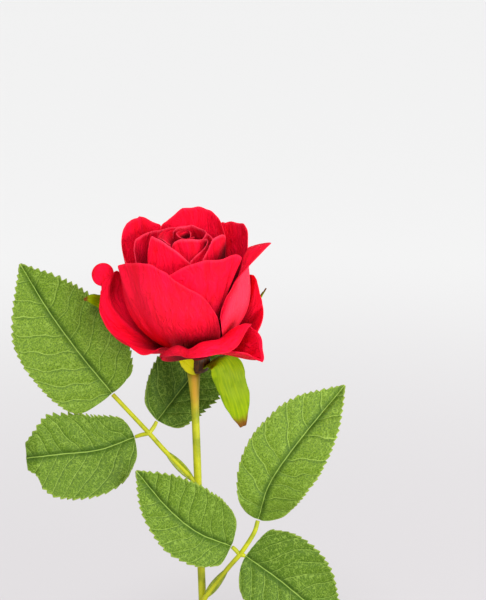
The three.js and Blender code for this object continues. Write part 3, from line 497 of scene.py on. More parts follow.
def makePetal(name, petal, material, seed):
    finish = petalFinish
    rolled = "roll" in petal
    steps = finish["steps"] + (finish["rollSteps"] if rolled else 0)
    bm, (upLayer, lipLayer, paintedHighlightLayer) = flatSheet(finish["ribs"], steps, "undarkened", "lip", "paintedHighlight")
    rimLength = pathRuns(lambda u: petalPoint(petal, u, 1), 40)[-1]
    ribLength = pathRuns(lambda t: petalPoint(petal, 0.5, t), 20)[-1]
    shares = {}
    for vert in bm.verts:
        u = vert.co.x + 0.5
        w = (vert.co.y + 0.5) * steps
        t = w / finish["steps"] if w <= finish["steps"] else 1 + (w - finish["steps"]) / finish["rollSteps"]
        shares[vert] = (u, t)
        nick = 0.5 + noise.noise((u * rimLength / finish["nickLength"], 0, seed * 5.7))
        back = max(0, nick) * petal.get("nick", finish["nick"]) / ribLength * min(1, t) ** 6
        if t <= 1:
            vert.co = petalPoint(petal, u, t - back)
        else:
            vert.co = petalPoint(petal, u, t) + petalPoint(petal, u, 1 - back) - petalPoint(petal, u, 1)
    bm.normal_update()
    places = {}
    for vert, (u, t) in shares.items():
        x, y = u * rimLength, t * ribLength
        free = min(1, t) ** 2
        width, length = finish["puckerSize"]
        pucker = noise.noise((x / width, y / length, seed * 7.3)) * free
        width, length = finish["waveSize"]
        wave = noise.noise((x / width, y / length, seed * 3.1 + 50))
        wave *= max(0, free - finish["waveFrom"]) / (1 - finish["waveFrom"])
        vert.co += vert.normal * (pucker * finish["puckerDepth"] + wave * finish["waveDepth"])
        toRim = (2 - t) * finish["rollWidth"] if rolled else (1 - t) * ribLength
        toEdge = min(toRim, x, rimLength - x)
        # The lip share paints a paler band along the edge, the highlight where the rim catches the light.
        vert[lipLayer] = max(0, 1 - toEdge / finish["lipWidth"]) * petal.get("paleLip", finish["paleLip"])
        # Below the given depths the deep red comes in, partly dye darker at the root and partly painted shade
        # in the creases.
        below = (1 - min(t, 1)) * ribLength
        near, far = (along(reach, u) for reach in petal.get("dyeAndShadeDepths", finish["dyeAndShadeDepths"]))
        vert[upLayer] = max(0, min(1, (far - below) / (far - near)))
        # A paler pink painted over the lit face, a painted highlight that fades in just below the rim.
        vert[paintedHighlightLayer] = petal.get("paintedHighlight", 0) * vert[upLayer] ** 2 * min(1, below / finish["highlightFadesIn"])
        places[vert] = (x + seed * 37, y)  # each petal has its own stretch of the pattern
    layUv(bm, "petal", places)
    thicken(finishPiece("petal_" + name, bm, material, "bloom"), finish["thickness"])


# The hidden heart takes mostly the deep red, partly root dye and partly painted shade among the roots.
heart = {"profile": [(0, 4), (5, 5), (7.5, 9), (6.5, 14), (3.5, 18), (0, 20)], "sides": 32, "undarkened": 0.2}


def makeBloom():
    material = makePetalMaterial()
    for seed, (name, petal) in enumerate(petals.items()):
        makePetal(name, petal, material, seed)
    bm = bmesh.new()  # the heart that the petals' roots grow out of
    turned(bm, smoothRun(heart["profile"], 30), heart["sides"])
    upLayer = bm.verts.layers.float.new("undarkened")
    for vert in bm.verts:
        vert[upLayer] = heart["undarkened"]
    stand(bm, bloomPlace["root"], bloomAxis)
    finishPiece("bloomHeart", bm, material, "bloom")
    print("bloom ready")


# Leaflets, sepals and stipules: blades along a midrib.

def bladeFrame(blade, run):  # a point of the midrib, and the ways ahead, to the right and out of the face
    before = Vector(through(blade["line"], max(run - 0.001, 0)))
    after = Vector(through(blade["line"], min(run + 0.001, 1)))
    ahead = (after - before).normalized()
    facing = blade["facing"]
    face = Vector(through(facing, run) if isinstance(facing[0], (list, tuple)) else facing)
    side = ahead.cross(face).normalized()
    return Vector(through(blade["line"], run)), ahead, side, side.cross(ahead)


def bladePoint(blade, s, c):  # s from the base to the tip, c from the left margin, -1, to the right one, 1
    centre, ahead, side, up = bladeFrame(blade, s ** blade.get("spread", 1))
    offset = c * along(blade["left"] if c < 0 else blade["right"], s)
    return centre + side * offset + up * abs(offset) * math.tan(math.radians(blade["fold"]))


# For each leaflet, line is the midrib, left and right are the half widths from the base to the tip, tone says
# how pale the print is, and veins counts the side ribs.
leaflets = {
    "leaflet_left_terminal": {
        "line": [[-50.2, 12, 302.9], [-65, 3, 326], [-80, 0, 349.5], [-93.7, 2, 373]],
        "facing": [0.05, -0.95, 0.3], "left": [0.9, 17, 23, 25.5, 26.5, 26.5, 23.5, 13, 0.5],
        "right": [0.9, 14, 20, 23.5, 24.5, 24, 22, 14.5, 0.5], "tone": 1.3, "veins": 7},
    "leaflet_left_outer": {
        "line": [[-39, 10, 279.6], [-56.5, 3.5, 275], [-75, -2, 274.6], [-91.5, -8, 274.6]],
        "facing": [0, -0.95, 0.3], "left": [0.9, 9, 14.5, 19.5, 22.5, 24, 23.5, 20.5, 9],
        "right": [0.9, 10, 14.8, 17.3, 19, 20.5, 21.5, 20.5, 8], "tone": 0.4, "veins": 6, "tipFold": 0.9,
        "tipAngle": 40, "tipStep": 0.3},
    "leaflet_left_inner": {
        "line": [[-26.9, 12, 288.3], [-13.2, 20, 304.7], [0.5, 29, 319], [15.4, 38, 333.2]],
        "facing": [0, -0.93, 0.35], "left": [0.9, 9.5, 14, 17.5, 20, 20.5, 18, 10.5, 0.5],
        "right": [0.9, 10.5, 14.8, 17.2, 18.8, 19.5, 17.5, 10, 0.5], "tone": -0.1, "veins": 7},
    "leaflet_right_terminal": {
        "line": [[25.3, -9, 242], [31, -11.5, 262], [45, -8, 282.5], [69.7, 6, 309]],
        "facing": [0, -0.95, 0.3], "left": [0.9, 6.5, 10.5, 14.5, 18, 20.5, 20.8, 16.5, 0.5],
        "right": [0.9, 7, 12.5, 16, 18, 19, 18.5, 13.5, 0.5], "tone": 1.1, "veins": 7,
        "toothDepths": (1.1, 1.1)},
    "leaflet_right_inner": {
        "line": [[11.3, -12, 228.5], [-5, -15.5, 237], [-20.5, -17, 251], [-36.4, -14, 269.8]],
        "facing": [0, -0.95, 0.3], "left": [0.9, 10, 13, 15.5, 16.8, 17, 14.6, 9.8, 0.5],
        "right": [0.9, 11.5, 17, 20, 21.5, 21.5, 20, 14.5, 0.5], "tone": 0.6, "veins": 7,
        "toothDepths": (1.0, 1.1)},
    "leaflet_right_outer": {
        "line": [[19, -13, 223.4], [36, -19, 213], [53, -24, 200.5], [70, -26, 189.8]],
        "facing": [0, -0.95, 0.3], "left": [0.9, 17, 21, 23.8, 25, 24, 20, 11, 0.5],
        "right": [0.9, 9, 16, 19.5, 21.5, 21.5, 18, 10.5, 0.5], "tone": 0.1, "veins": 7,
        "toothDepths": (1.1, 1.1)},
}
leafFinish = {
    "fold": 9, "spread": 1.6, "thickness": 0.5, "columns": 56, "rows": 170,
    "toothPitch": 3.6, "toothDepths": (1.1, 2), "toothLean": 0.9, "toothPeak": 0.75, "toothBand": 0.7,
    "jitter": 0.35, "jitterLength": 9, "plainBase": 0.13, "toothFade": 0.12, "plainTip": 7,
    "grooveDepth": 0.9, "grooveWidth": 1.1, "veinDepth": 0.4, "veinWidth": 1.0, "puff": 0.35,
    "buckle": 1.44, "buckleSize": (16, 19), "buckleFrom": 12,
    "veinSweep": 0.62, "veinCurve": 0.006, "veinStart": (0.08, 0.5),
    "veinWander": ((11, 0.35, 2.7), (4, 0.06, 1)),
    "lipWidth": 0.9, "lipShare": 0.4, "netShare": 0.4, "ribShadow": 0.07,
    "nets": ((2.8, 0), (1.7, 40)), "mottle": 0.8,  # millimetres across a mesh, and where the pattern starts
    # Printed lines, and the painted shadow beside the ribs and painted shade in the midrib's groove: full to
    # the first distance, gone at the second, and the share of their colour.
    "lines": {"net": (0.006, 0.034, 1), "rib": (0.006, 0.03, 0.5), "ribShade": (0.01, 0.09, 0.4),
              "groove": (0.3, 4, 1.5), "midrib": (0.15, 0.45, 0.6)},
    # The groove colour is painted shade: down the midrib's groove, and as a shadow beside each rib.
    "groove": "#2c4a08", "dark": "#32500a", "mid": "#48640a", "pale": "#66821a", "net": "#92ae46",
    "rib": "#9cb650", "edge": "#aebe50", "sheen": "#c8e080", "back": "#748856", "backPale": "#7f9456",
}


def makeLeafMaterial():
    # Printed and hot-pressed polyester leaf: satin cloth with embossed ribs, printed with paler side ribs and
    # a fine net, a paler band along the cut teeth, a painted shadow beside each side rib and painted shade
    # down the midrib's groove.
    material, tree, shader = newMaterial("pressedLeafCloth")
    finish = leafFinish
    place = addNode(tree, "UVMap", {}, uv_map="blade")
    millimetres = addNode(tree, "Mapping", {"Vector": place, "Scale": (100, 100, 1)})
    across = addNode(tree, "SeparateXYZ", {"Vector": millimetres}, "X")
    phase, tone, lip = (addNode(tree, "Attribute", {}, "Fac", attribute_name=name)
                        for name in ("ribPhase", "tone", "lip"))
    below = addNode(tree, "Math", {0: phase, 1: finish["ribShadow"]}, operation="ADD")
    toRib, toShade = (addNode(tree, "Math", {0: run, 1: 0.5}, operation="PINGPONG") for run in (phase, below))
    toMidrib = addNode(tree, "Math", {0: across}, operation="ABSOLUTE")
    distances = [("rib", toRib), ("ribShade", toShade), ("groove", toMidrib), ("midrib", toMidrib)]
    for mesh, start in finish["nets"]:  # fine veins, which wander where a soft noise passes its middle value
        field = addNode(tree, "Mapping", {"Vector": millimetres, "Location": (start, start, 0)})
        soft = addNode(tree, "TexNoise", {
            "Vector": field, "Scale": 1 / mesh, "Detail": 1, "Roughness": 0.4, "Distortion": 0.6})
        toLine = addNode(tree, "Math", {0: soft, 1: 0.5}, operation="SUBTRACT")
        distances.append(("net", addNode(tree, "Math", {0: toLine}, operation="ABSOLUTE")))
    shares = []
    for name, distance in distances:
        near, far, share = finish["lines"][name]
        shares.append(addNode(tree, "MapRange", {
            "Value": distance, "From Min": near, "From Max": far, "To Min": share, "To Max": 0},
            interpolation_type="SMOOTHSTEP"))
    ribLine, ribShade, grooveShadeLine, midribLine, *netLines = shares
    net = addNode(tree, "Math", {0: netLines[0], 1: netLines[1]}, operation="MAXIMUM")
    mottle = addNode(tree, "TexNoise", {
        "Vector": millimetres, "Scale": 1 / finish["mottle"], "Detail": 3, "Roughness": 0.6})
    patches = addNode(tree, "TexNoise", {"Vector": millimetres, "Scale": 0.07, "Detail": 2})
    toneSum = addNode(tree, "Math", {0: patches, 1: 0.5, 2: tone}, operation="MULTIPLY_ADD")
    toneShare = addNode(tree, "MapRange", {"Value": toneSum, "From Min": 0.1, "From Max": 1.4})
    darkShare = addNode(tree, "MapRange", {
        "Value": mottle, "From Min": 0.62, "From Max": 0.38, "To Min": 0, "To Max": 0.75})
    netShare, edgeShare, grooveShadeShare = (
        addNode(tree, "Math", {0: line, 1: share}, operation="MULTIPLY", use_clamp=True)
        for line, share in ((net, finish["netShare"]), (lip, finish["lipShare"]), (grooveShadeLine, patches)))
    netBump = addNode(tree, "Bump", {"Height": net, "Strength": 0.4, "Distance": 0.0003}, invert=True)
    clothBump = addNode(tree, "Bump", {
        "Height": mottle, "Strength": 0.35, "Distance": 0.0003, "Normal": netBump})
    satin = addNode(tree, "MapRange", {"Value": mottle, "To Min": 0.45, "To Max": 0.65})
    # Painted shadow beside each rib and painted shade in the midrib's groove are among these coats.
    coats = [(toneShare, finish["pale"]), (darkShare, finish["dark"]), (netShare, finish["net"]),
             (ribShade, finish["groove"]), (ribLine, finish["rib"]), (grooveShadeShare, finish["groove"]),
             (midribLine, finish["rib"]), (edgeShare, finish["edge"])]
    paint(tree, shader, finish["mid"], coats, {
        "Normal": clothBump, "Roughness": satin, "Specular IOR Level": 0.18,
        "Sheen Weight": 0.04, "Sheen Tint": finish["sheen"]})
    return material


def evenRows(blade, rows, fine=300):  # the margins' length, and s at even steps along them
    margins = [pathRuns(lambda s: bladePoint(blade, s, c), fine) for c in (-1, 1)]
    runs = [(left + right) / 2 for left, right in zip(*margins)]
    places = []
    k = 0
    for row in range(rows + 1):
        goal = runs[-1] * row / rows
        while k < fine - 1 and runs[k + 1] < goal:
            k += 1
        places.append(min(1, (k + (goal - runs[k]) / (runs[k + 1] - runs[k])) / fine))
    return runs[-1], places


def makeLeaflet(name, shape, material, backMaterial, seed):
    finish = leafFinish
    blade = {**shape, "fold": finish["fold"], "spread": finish["spread"]}
    total, rowPlaces = evenRows(blade, finish["rows"])
    midribLength = pathRuns(lambda run: through(blade["line"], run), 50)[-1]
    bm, (phaseLayer, toneLayer, lipLayer) = flatSheet(
        finish["columns"], finish["rows"], "ribPhase", "tone", "lip")
    places = {}
    for vert in bm.verts:
        c = vert.co.x * 2
        hand = 0 if c < 0 else 1  # left or right of the midrib
        row = round((vert.co.y + 0.5) * finish["rows"])
        s = rowPlaces[row]
        run = s ** finish["spread"]
        half = along(blade["right" if hand else "left"], s)
        centre, ahead, side, up = bladeFrame(blade, run)
        beyond = max(0, run - shape.get("tipFold", 2)) * midribLength  # past a fold across the tip
        if not hand:
            half *= 1 - shape.get("tipStep", 0) * min(1, beyond)
        centre -= up * beyond * math.tan(math.radians(shape.get("tipAngle", 0)))
        x, y = c * half, run * midribLength
        point = centre + side * x + up * abs(x) * math.tan(math.radians(finish["fold"]))
        # Saw teeth: the margin runs out slowly towards each point and falls back sharply.
        marginRun = total * row / finish["rows"]
        jitter = noise.noise((marginRun / finish["jitterLength"], seed * 5.1, 7 if hand else 2))
        saw = (marginRun / finish["toothPitch"] + finish["jitter"] * jitter) % 1
        peak = finish["toothPeak"]
        tooth = saw / peak if saw < peak else (1 - saw) / (1 - peak)
        inRun = max(0, min(1, (marginRun / total - finish["plainBase"]) / finish["toothFade"]))
        inRun *= min(1, (total - marginRun) / finish["plainTip"])
        toMargin = max(0, (abs(c) - finish["toothBand"]) / (1 - finish["toothBand"])) ** 2
        depth = shape.get("toothDepths", finish["toothDepths"])[hand] * inRun * (1 + 0.5 * jitter)
        point += side * (-math.copysign(1, c) * (1 - tooth) * depth * toMargin)
        point += ahead * (tooth * finish["toothLean"] * inRun * toMargin)
        # Pressed side ribs, which sweep forward from the midrib and wander a little.
        phase = (y - abs(x) * finish["veinSweep"] - x * x * finish["veinCurve"]) / midribLength
        phase = phase * (shape["veins"] + 1) + finish["veinStart"][c > 0]
        for size, share, turn in finish["veinWander"]:
            phase += noise.noise((x / size, y / size, seed * turn)) * share
        toVein = abs(phase - round(phase)) * midribLength / (shape["veins"] + 1)
        groove = math.exp(-(x / finish["grooveWidth"]) ** 2) * finish["grooveDepth"]
        vein = math.exp(-(toVein / finish["veinWidth"]) ** 2) * finish["veinDepth"]
        fade = min(1, half / 6) * min(1, abs(x) / 1.5)  # the relief dies away at the tip and by the midrib
        between = (1 - math.cos(2 * math.pi * (phase % 1))) / 2
        width, length = finish["buckleSize"]
        buckle = noise.noise((x / width, y / length, seed * 9.7)) * min(1, y / finish["buckleFrom"])
        point += up * (fade * (between * finish["puff"] - vein) - groove * min(1, half / 4)
                       + buckle * finish["buckle"])
        vert.co = point
        vert[phaseLayer] = phase
        vert[toneLayer] = shape["tone"] + 0.5 * (s - 0.6)  # paler towards the tip
        vert[lipLayer] = max(0, 1 - (1 - abs(c)) * half / finish["lipWidth"]) if row < finish["rows"] else 1
        places[vert] = (x, y)
    layUv(bm, "blade", places)
    piece = finishPiece(name + "_cloth", bm, material, name)
    piece.data.materials.append(backMaterial)
    thicken(piece, finish["thickness"], 0).material_offset = 1


def makeLeaves():
    material = makeLeafMaterial()
    # The unprinted side of the leaf cloth: dull grey-green, with the weave of 0.7 mm just showing.
    backMaterial = makeMottled("unprintedLeafCloth", leafFinish["backPale"], leafFinish["back"],
                               (1400, 1400, 1400), 2, {"Roughness": 0.75, "Specular IOR Level": 0.2})
    for seed, (name, shape) in enumerate(leaflets.items()):
        makeLeaflet(name, shape, material, backMaterial, seed)
    print("leaves ready")


# Calyx: the hip and five sepals.

sepals = {
    "hanging": {
        "line": [[-1.6, -3, 321.6], [2.5, -6.5, 325.3], [6.9, -9.5, 326.4], [10, -10.5, 321.8],
                 [12.2, -10.5, 314], [15.2, -9, 303.5], [17.8, -5, 290.1]],
        "facing": [[0, -0.3, 1], [0.5, -0.6, 0.8], [0.3, -0.9, 0.3], [0.3, -0.9, 0.3]],
        "widths": [3, 6, 9.5, 9.6, 8, 6.8, 1.7]},
    "backLeft": {
        "line": [[-9.2, -0.3, 325], [-19.3, 1.2, 329.6], [-31.6, 2.6, 336.5], [-42.2, 3, 344.6],
                 [-51.2, -1.6, 353.1], [-56.7, -5.5, 356.7], [-61.3, -7.5, 357]],
        "facing": [[0.3, -0.2, 1], [0.3, -0.3, 1], [0.1, -0.9, 0.5], [0, -1, 0.2]],
        "widths": [2.5, 5, 6, 5, 3.4, 2.6, 0.4]},
    "backRight": {
        "line": [[-2, 0.2, 325.6], [6.8, 3.1, 331.8], [16.8, 5.2, 340], [23.8, 4.2, 350.5],
                 [26.6, 1.2, 357.4], [28.6, -1.2, 361.4]], "facing": [-0.3, -0.5, 1],
        "widths": [2.5, 5, 5.5, 3, 1, 0.4]},
    "frontLeft": {
        "line": [[-5.7, -3.5, 319.1], [-7.6, -7.5, 321.6], [-10, -11.5, 325.2], [-12.2, -15.5, 328.2],
                 [-14.5, -19.5, 330.2]], "facing": [0.3, -0.9, 0.3], "widths": [2.2, 3.2, 3.4, 2.8, 0.6],
        "yellowing": 0.8},
    "back": {
        "line": [[-5.8, 2.2, 325.6], [-7, 11.2, 332.2], [-8.6, 21.8, 341.1], [-9.5, 29.9, 352.7],
                 [-9.8, 33.1, 363.4], [-10.6, 33.3, 373.6]], "facing": [0, -0.3, 1],
        "widths": [2.5, 5, 6.5, 6, 4, 0.6]},
}
sepalFinish = {
    "fold": -6, "thickness": 0.6, "columns": 20, "rows": 70, "nibble": 0.45, "nibbleLength": 3.5,
    "buckle": 0.5, "buckleSize": (6, 8), "grooveDepth": 0.35, "grooveWidth": 0.6,
    "young": "#8ca000", "body": "#688600", "shade": "#527000", "tip": "#6e4412", "yellow": "#b8ac08",
    "rib": (0.9, 14), "patch": (6, 9), "tipFrom": 0.96, "tipTo": 1.02, "tipRagged": 0.12,
}
hip = {
    "profile": [(3.4, -2.6), (5, -1.8), (5.9, 0), (6.5, 2.5), (6.5, 5), (5.6, 7.5)], "sides": 40,
    # The dark brown is partly painted shade under the petals.
    "brown": "#5c3008", "dark": "#2c1604",
}


def makeSepalMaterial():
    # Soft-moulded polyethylene sepal: evenly dyed yellow-green, faint lengthwise ribs, brown brushed-on tip.
    material, tree, shader = newMaterial("mouldedSepal")
    finish = sepalFinish
    place = addNode(tree, "UVMap", {}, uv_map="blade")
    ribs = stretchedNoise(tree, place, clothScale(*finish["rib"]), Detail=3)
    patches = stretchedNoise(tree, place, clothScale(*finish["patch"]), Detail=2)
    share = addNode(tree, "MapRange", {"Value": ribs, "From Min": 0.3, "From Max": 0.7})
    shadeShare = addNode(tree, "MapRange", {
        "Value": patches, "From Min": 0.5, "From Max": 0.7, "To Max": 0.5})
    yellowing, run = (addNode(tree, "Attribute", {}, "Fac", attribute_name=name)
                      for name in ("yellowing", "run"))
    ragged = addNode(tree, "Math", {0: patches, 1: finish["tipRagged"], 2: run}, operation="MULTIPLY_ADD")
    tipShare = addNode(tree, "MapRange", {
        "Value": ragged, "From Min": finish["tipFrom"], "From Max": finish["tipTo"]},
        interpolation_type="SMOOTHSTEP")
    bump = addNode(tree, "Bump", {"Height": ribs, "Strength": 0.4, "Distance": 0.0004})
    soft = addNode(tree, "MapRange", {"Value": patches, "To Min": 0.42, "To Max": 0.6})
    coats = [(share, finish["young"]), (shadeShare, finish["shade"]), (yellowing, finish["yellow"]),
             (tipShare, finish["tip"])]
    paint(tree, shader, finish["body"], coats, {"Normal": bump, "Roughness": soft, "Specular IOR Level": 0.1})
    return material


def makeSepal(name, shape, material, seed):
    finish = sepalFinish
    lineLength = pathRuns(lambda run: through(shape["line"], run), 50)[-1]
    bm, (runLayer, yellowLayer) = flatSheet(finish["columns"], finish["rows"], "run", "yellowing")
    places = {}
    for vert in bm.verts:
        c = vert.co.x * 2
        run = vert.co.y + 0.5
        y = run * lineLength
        centre, _, side, up = bladeFrame(shape, run)
        nibble = noise.noise((y / finish["nibbleLength"], seed * 3.3, 1 if c < 0 else 5))
        x = c * (along(shape["widths"], run) + nibble * finish["nibble"] * min(1, run * 4) * abs(c) ** 3)
        rise = abs(x) * math.tan(math.radians(finish["fold"]))
        width, length = finish["buckleSize"]
        buckle = noise.noise((x / width, y / length, seed * 4.4)) * finish["buckle"] * min(1, run * 3)
        groove = -finish["grooveDepth"] * math.exp(-(x / finish["grooveWidth"]) ** 2)
        vert.co = centre + side * x + up * (rise + buckle + groove)
        vert[runLayer] = run
        vert[yellowLayer] = shape.get("yellowing", 0)
        places[vert] = (x + seed * 30, y)
    layUv(bm, "blade", places)
    thicken(finishPiece("sepal_" + name, bm, material, "calyx"), finish["thickness"])


def makeCalyx():
    material = makeSepalMaterial()
    for seed, (name, shape) in enumerate(sepals.items()):
        makeSepal(name, shape, material, seed)
    bm = bmesh.new()
    profile = hip["profile"]
    turned(bm, [(0, profile[0][1]), *smoothRun(profile, 24), (0, profile[-1][1])], hip["sides"])
    stand(bm, bloomPlace["root"], bloomAxis)
    # The moulded hip: brown over a darker brown, brushed on in strokes 1.1 mm wide, with a soft plastic
    # shine;
    # the dark brown is partly painted shade under the petals.
    hipBrownAndShadeMaterial = makeMottled("hipBrownAndShade", hip["dark"], hip["brown"], (900, 900, 160), 3, {
        "Roughness": 0.5, "Specular IOR Level": 0.2})
    finishPiece("hip", bm, hipBrownAndShadeMaterial, "calyx")
    print("calyx ready")


# Stem and leaf stalks.

stem = {
    "foot": (1.6, 0, 6.1), "top": (-7.4, 0, 317.4), "radius": 2, "funnelRadius": 3.4, "funnelLength": 20,
    "funnelCurve": 1.6, "uneven": 0.06, "unevenRings": 5, "rings": 90, "sides": 32,
    "stalkRadii": [1.6875, 1.3125, 1.25, 1.1875, 1.125], "sideStalkRadii": [1.1, 1.1, 0.935],
    "sheathWidths": [0.7, 2, 2.4, 1.9, 0.7], "sheathFold": 20, "sheathThickness": 1.1,
    "green": "#8c9a10", "yellow": "#beb81c", "olive": "#6e7c10", "blush": "#c05a18", "blushLight": "#f0a03c",
    "sheathDark": "#667408", "sheathLight": "#88940c", "yellowShare": 0.5,
    # The metres where a colour begins and is full, up the stem or from left to right, and its shares: the
    # brushed blush fades in up the stem and is thinner on the lit left side, partly as the blush lies and
    # partly as a painted highlight, and olive lies down the right side as painted shade.
    "blushHeights": (0.294, 0.308, 0, 1), "sunnySide": (-0.01, -0.007, 0.1191667, 0.5561111),
    "shadedRightSide": (-0.0068, -0.0045, 0, 0.65),
}
stalks = {
    "left": {
        "main": [[-5.3, 0, 256], [-9.8, 0.5, 261.5], [-22.7, 4, 274.2], [-32.2, 8.5, 283.6],
                 [-49.8, 11.6, 302.3]],
        "sides": [[[-31, 8, 282.4], [-35, 9.2, 281.2], [-38.3, 9.9, 279.9]],
                  [[-31, 8, 282.4], [-28.7, 10, 285.2], [-27.3, 11.6, 287.6]]],
        "sheath": [[-7.6, 0.3, 259], [-15, 1.8, 266.8], [-22.5, 4, 274]]},
    "right": {
        "main": [[-3.9, -0.5, 191.5], [-1.2, -4, 198], [9.8, -9, 215.1], [16.5, -12, 224.7], [23, -11, 235],
                 [25.1, -9.2, 241.2]],
        "sides": [[[15.8, -11.6, 223.6], [13.5, -12, 226.6], [11.9, -12, 228]],
                  [[15.8, -11.6, 223.6], [17.4, -12.6, 223.8], [18.6, -12.9, 223.5]]],
        "sheath": [[-2.6, -3, 195.6], [3, -6, 204.6], [9.6, -9, 214.8]]},
}


def makeStalkMaterial():
    # Polyethylene moulded over wire: yellow-green, a little waxy and mottled with olive, with an orange-brown
    # blush brushed on under the bloom, thinned on the lit left side as a painted highlight, and olive painted
    # down its right side as painted shade.
    material, tree, shader = newMaterial("mouldedStalk")
    place = addNode(tree, "TexCoord", {}, "Object")
    at = addNode(tree, "SeparateXYZ", {"Vector": place}).node.outputs
    patches = addNode(tree, "TexNoise", {"Vector": place, "Scale": 130, "Detail": 3})
    oliveShare = addNode(tree, "MapRange", {
        "Value": patches, "From Min": 0.46, "From Max": 0.68, "To Max": 0.7})
    shares = []
    for axis, name in (("Z", "blushHeights"), ("X", "sunnySide"), ("X", "shadedRightSide")):
        start, full, least, most = stem[name]
        shares.append(addNode(tree, "MapRange", {
            "Value": at[axis], "From Min": start, "From Max": full, "To Min": least, "To Max": most},
            interpolation_type="SMOOTHSTEP"))
    # The blush is thinned on the lit left side, a painted highlight, and olive laid down the right side is
    # painted shade.
    sunny, rightShade = (addNode(tree, "Math", {0: shares[0], 1: side}, operation="MULTIPLY")
                    for side in shares[1:])
    blush = addNode(tree, "Mix", {"Factor": patches, 6: stem["blush"], 7: stem["blushLight"]}, 2,
                    data_type="RGBA")
    waxy = addNode(tree, "MapRange", {"Value": patches, "To Min": 0.38, "To Max": 0.55})
    coats = [(stem["yellowShare"], stem["yellow"]), (oliveShare, stem["olive"]), (sunny, blush),
             (rightShade, stem["olive"])]
    paint(tree, shader, stem["green"], coats, {"Roughness": waxy, "Specular IOR Level": 0.25})
    return material


def makeStem():
    material = makeStalkMaterial()
    foot, top = Vector(stem["foot"]), Vector(stem["top"])
    direction = top - foot
    rings = stem["rings"]
    radii = []
    for k in range(rings + 1):
        left = direction.length * (1 - k / rings)  # below the top
        share = max(0, 1 - left / stem["funnelLength"])
        widening = (stem["funnelRadius"] - stem["radius"]) * share ** stem["funnelCurve"]
        uneven = noise.noise((0, 0, k / stem["unevenRings"])) * stem["uneven"]
        radii.append(stem["radius"] + widening + uneven)
    bm = bmesh.new()
    sweep(bm, [foot + direction * k / 3 for k in range(4)], radii, stem["sides"], rings)
    finishPiece("mainStem", bm, material, "stem")
    # Stipule wings moulded with the stalk, brushed a darker olive in patches of 2.4 mm.
    sheathMaterial = makeMottled("mouldedStipule", stem["sheathDark"], stem["sheathLight"],
                                 (420, 420, 420), 3, {"Roughness": 0.5})
    for name, stalk in stalks.items():
        bm = bmesh.new()
        sweep(bm, stalk["main"], stem["stalkRadii"], 20, 48)
        for side in stalk["sides"]:
            sweep(bm, side, stem["sideStalkRadii"], 16, 14)
        finishPiece("stalk_" + name, bm, material, "stem")
        blade = {"line": stalk["sheath"], "facing": [0, -1, 0.3], "fold": stem["sheathFold"],
                 "left": stem["sheathWidths"], "right": stem["sheathWidths"]}
        bm, _ = flatSheet(14, 40)
        for vert in bm.verts:
            vert.co = bladePoint(blade, vert.co.y + 0.5, vert.co.x * 2)
        piece = finishPiece("stipule_" + name, bm, sheathMaterial, "stem")
        thicken(piece, stem["sheathThickness"])
    print("stem ready")


# Vase and water.

vase = {
    "outside": [(26.5, 0), (28, 1.5), (31, 9), (35, 24), (37.6, 38), (38, 48), (36, 62), (30, 78), (22, 93),
                (15.7, 106), (11.8, 120), (10.2, 136), (10.4, 150), (11.8, 161), (13.4, 168), (14, 169.2)],
    "mouth": [(13, 170), (11, 169.4)],
    "wall": 3.5, "insideFoot": (23, 5.5), "floor": 5, "sides": 96,
    "glaze": "#efe9dc", "glazeWarm": "#e4d8c2", "speck": "#a08a68", "bisque": "#cdb793",
    "throwing": (12, 12, 240),  # turning lines in a metre, 4 mm apart up the vase
    "clouds": 40, "specks": 260, "bareFoot": (0.0018, 0.0024),  # in a metre, and metres up
}
water = {
    "level": 92, "gap": 0.3, "sides": 64, "color": "#eaf4f5",
    "creep": 0.5, "wallCreep": 0.7, "stemCreep": 0.8,  # how high and how wide the surface creeps up
}


def makeGlazeMaterial():
    # Ivory stoneware glaze over a pale clay body: glossy coat that breaks warmer over the turning lines, iron
    # specks under it, and a bare bisque ring where the foot stands.
    material, tree, shader = newMaterial("ivoryGlaze")
    place = addNode(tree, "TexCoord", {}, "Object")
    height = addNode(tree, "SeparateXYZ", {"Vector": place}, "Z")
    throwing = stretchedNoise(tree, place, vase["throwing"], Detail=2)
    clouds = addNode(tree, "TexNoise", {"Vector": place, "Scale": vase["clouds"], "Detail": 4})
    warm = addNode(tree, "MapRange", {"Value": clouds, "From Min": 0.35, "From Max": 0.7})
    specks = addNode(tree, "TexVoronoi", {"Vector": place, "Scale": vase["specks"]})
    speckShare, bare = (
        addNode(tree, "MapRange", {
            "Value": value, "From Min": near, "From Max": far, "To Min": share, "To Max": 0},
            interpolation_type="SMOOTHSTEP")
        for value, (near, far), share in ((specks, (0.07, 0.13), 0.7), (height, vase["bareFoot"], 1)))
    rough = addNode(tree, "MapRange", {"Value": bare, "To Min": 0.16, "To Max": 0.85})
    bump = addNode(tree, "Bump", {"Height": throwing, "Strength": 0.3, "Distance": 0.0008})
    coats = [(warm, vase["glazeWarm"]), (speckShare, vase["speck"]), (bare, vase["bisque"])]
    paint(tree, shader, vase["glaze"], coats, {"Normal": bump, "Roughness": rough})
    return material


def makeWaterMaterial():
    # Still tap water: clear, very slightly blue in depth, with the level surface barely rippled.
    material, tree, shader = newMaterial("stillWater")
    place = addNode(tree, "TexCoord", {}, "Object")
    ripple = addNode(tree, "TexNoise", {"Vector": place, "Scale": 60, "Detail": 1})
    bump = addNode(tree, "Bump", {"Height": ripple, "Strength": 0.1, "Distance": 0.0005})
    paint(tree, shader, water["color"], [], {
        "Normal": bump, "Roughness": 0.02, "IOR": 1.333, "Transmission Weight": 1})
    return material


def vaseInside():
    outside = vase["outside"]
    return [vase["insideFoot"], *((radius - vase["wall"], height) for radius, height in outside[3:-2])]


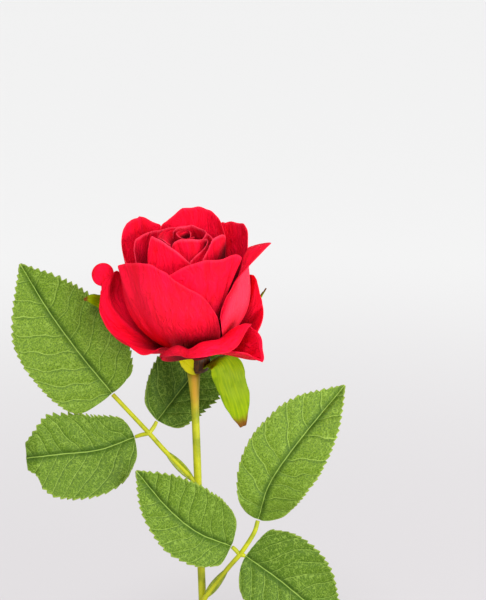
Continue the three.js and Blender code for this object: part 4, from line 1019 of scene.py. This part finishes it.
def makeVase():
    outside, inside = vase["outside"], vaseInside()
    mouth = [outside[-1], *vase["mouth"], inside[-1]]
    bm = bmesh.new()
    turned(bm, [(0, 0), *smoothRun(outside, 90), *smoothRun(mouth, 12, 1), *smoothRun(inside[::-1], 72),
                (0, vase["floor"])], vase["sides"])
    finishPiece("budVase", bm, makeGlazeMaterial(), "vase")
    print("vase ready")


def makeWater():
    level, gap, creep = water["level"], water["gap"], water["creep"]
    foot, top = Vector(stem["foot"]), Vector(stem["top"])

    def stemAt(height):
        return foot + (top - foot) * ((height - foot.z) / (top.z - foot.z))

    wall = [(radius - 2 * gap, height + gap) for radius, height in smoothRun(vaseInside(), 60)
            if height < level - 1.5]
    (below, belowHeight), (last, lastHeight) = wall[-2:]
    brim = last + (level - lastHeight) * (last - below) / (lastHeight - belowHeight)
    holeRadius = stem["radius"] + gap
    profile = [(10, vase["floor"] + 2 * gap), *wall, (brim, level)]
    rings = [((0, 0), radius, height) for radius, height in profile]
    # The surface's own rings, from the wall to the stem, each centred a share of the way to the stem.
    for radius, share, drop in ((brim - water["wallCreep"], 0.03, creep), (7, 0.6, creep),
                                (holeRadius + water["stemCreep"], 0.97, 0.6 * creep)):
        rings.append(((stemAt(level) * share).xy, radius, level - drop))
    for k in range(9):  # down the hole that the stem stands in
        height = level + (foot.z - gap - level) * k / 8
        rings.append((stemAt(height).xy, holeRadius, height))
    bm = bmesh.new()
    before = []
    for k, (centre, radius, height) in enumerate(rings):
        ring = bmesh.ops.create_circle(
            bm, segments=water["sides"], radius=radius, cap_ends=k in (0, len(rings) - 1),
            matrix=Matrix.Translation((*centre, height)))["verts"]
        edges = ringEdges(bm.edges, set(ring))
        if before:
            bmesh.ops.bridge_loops(bm, edges=before + edges)
        before = edges
    bmesh.ops.recalc_face_normals(bm, faces=bm.faces)
    finishPiece("water_body", bm, makeWaterMaterial(), "water")
    print("water ready")


makeBloom()
makeLeaves()
makeCalyx()
makeStem()
makeVase()
makeWater()
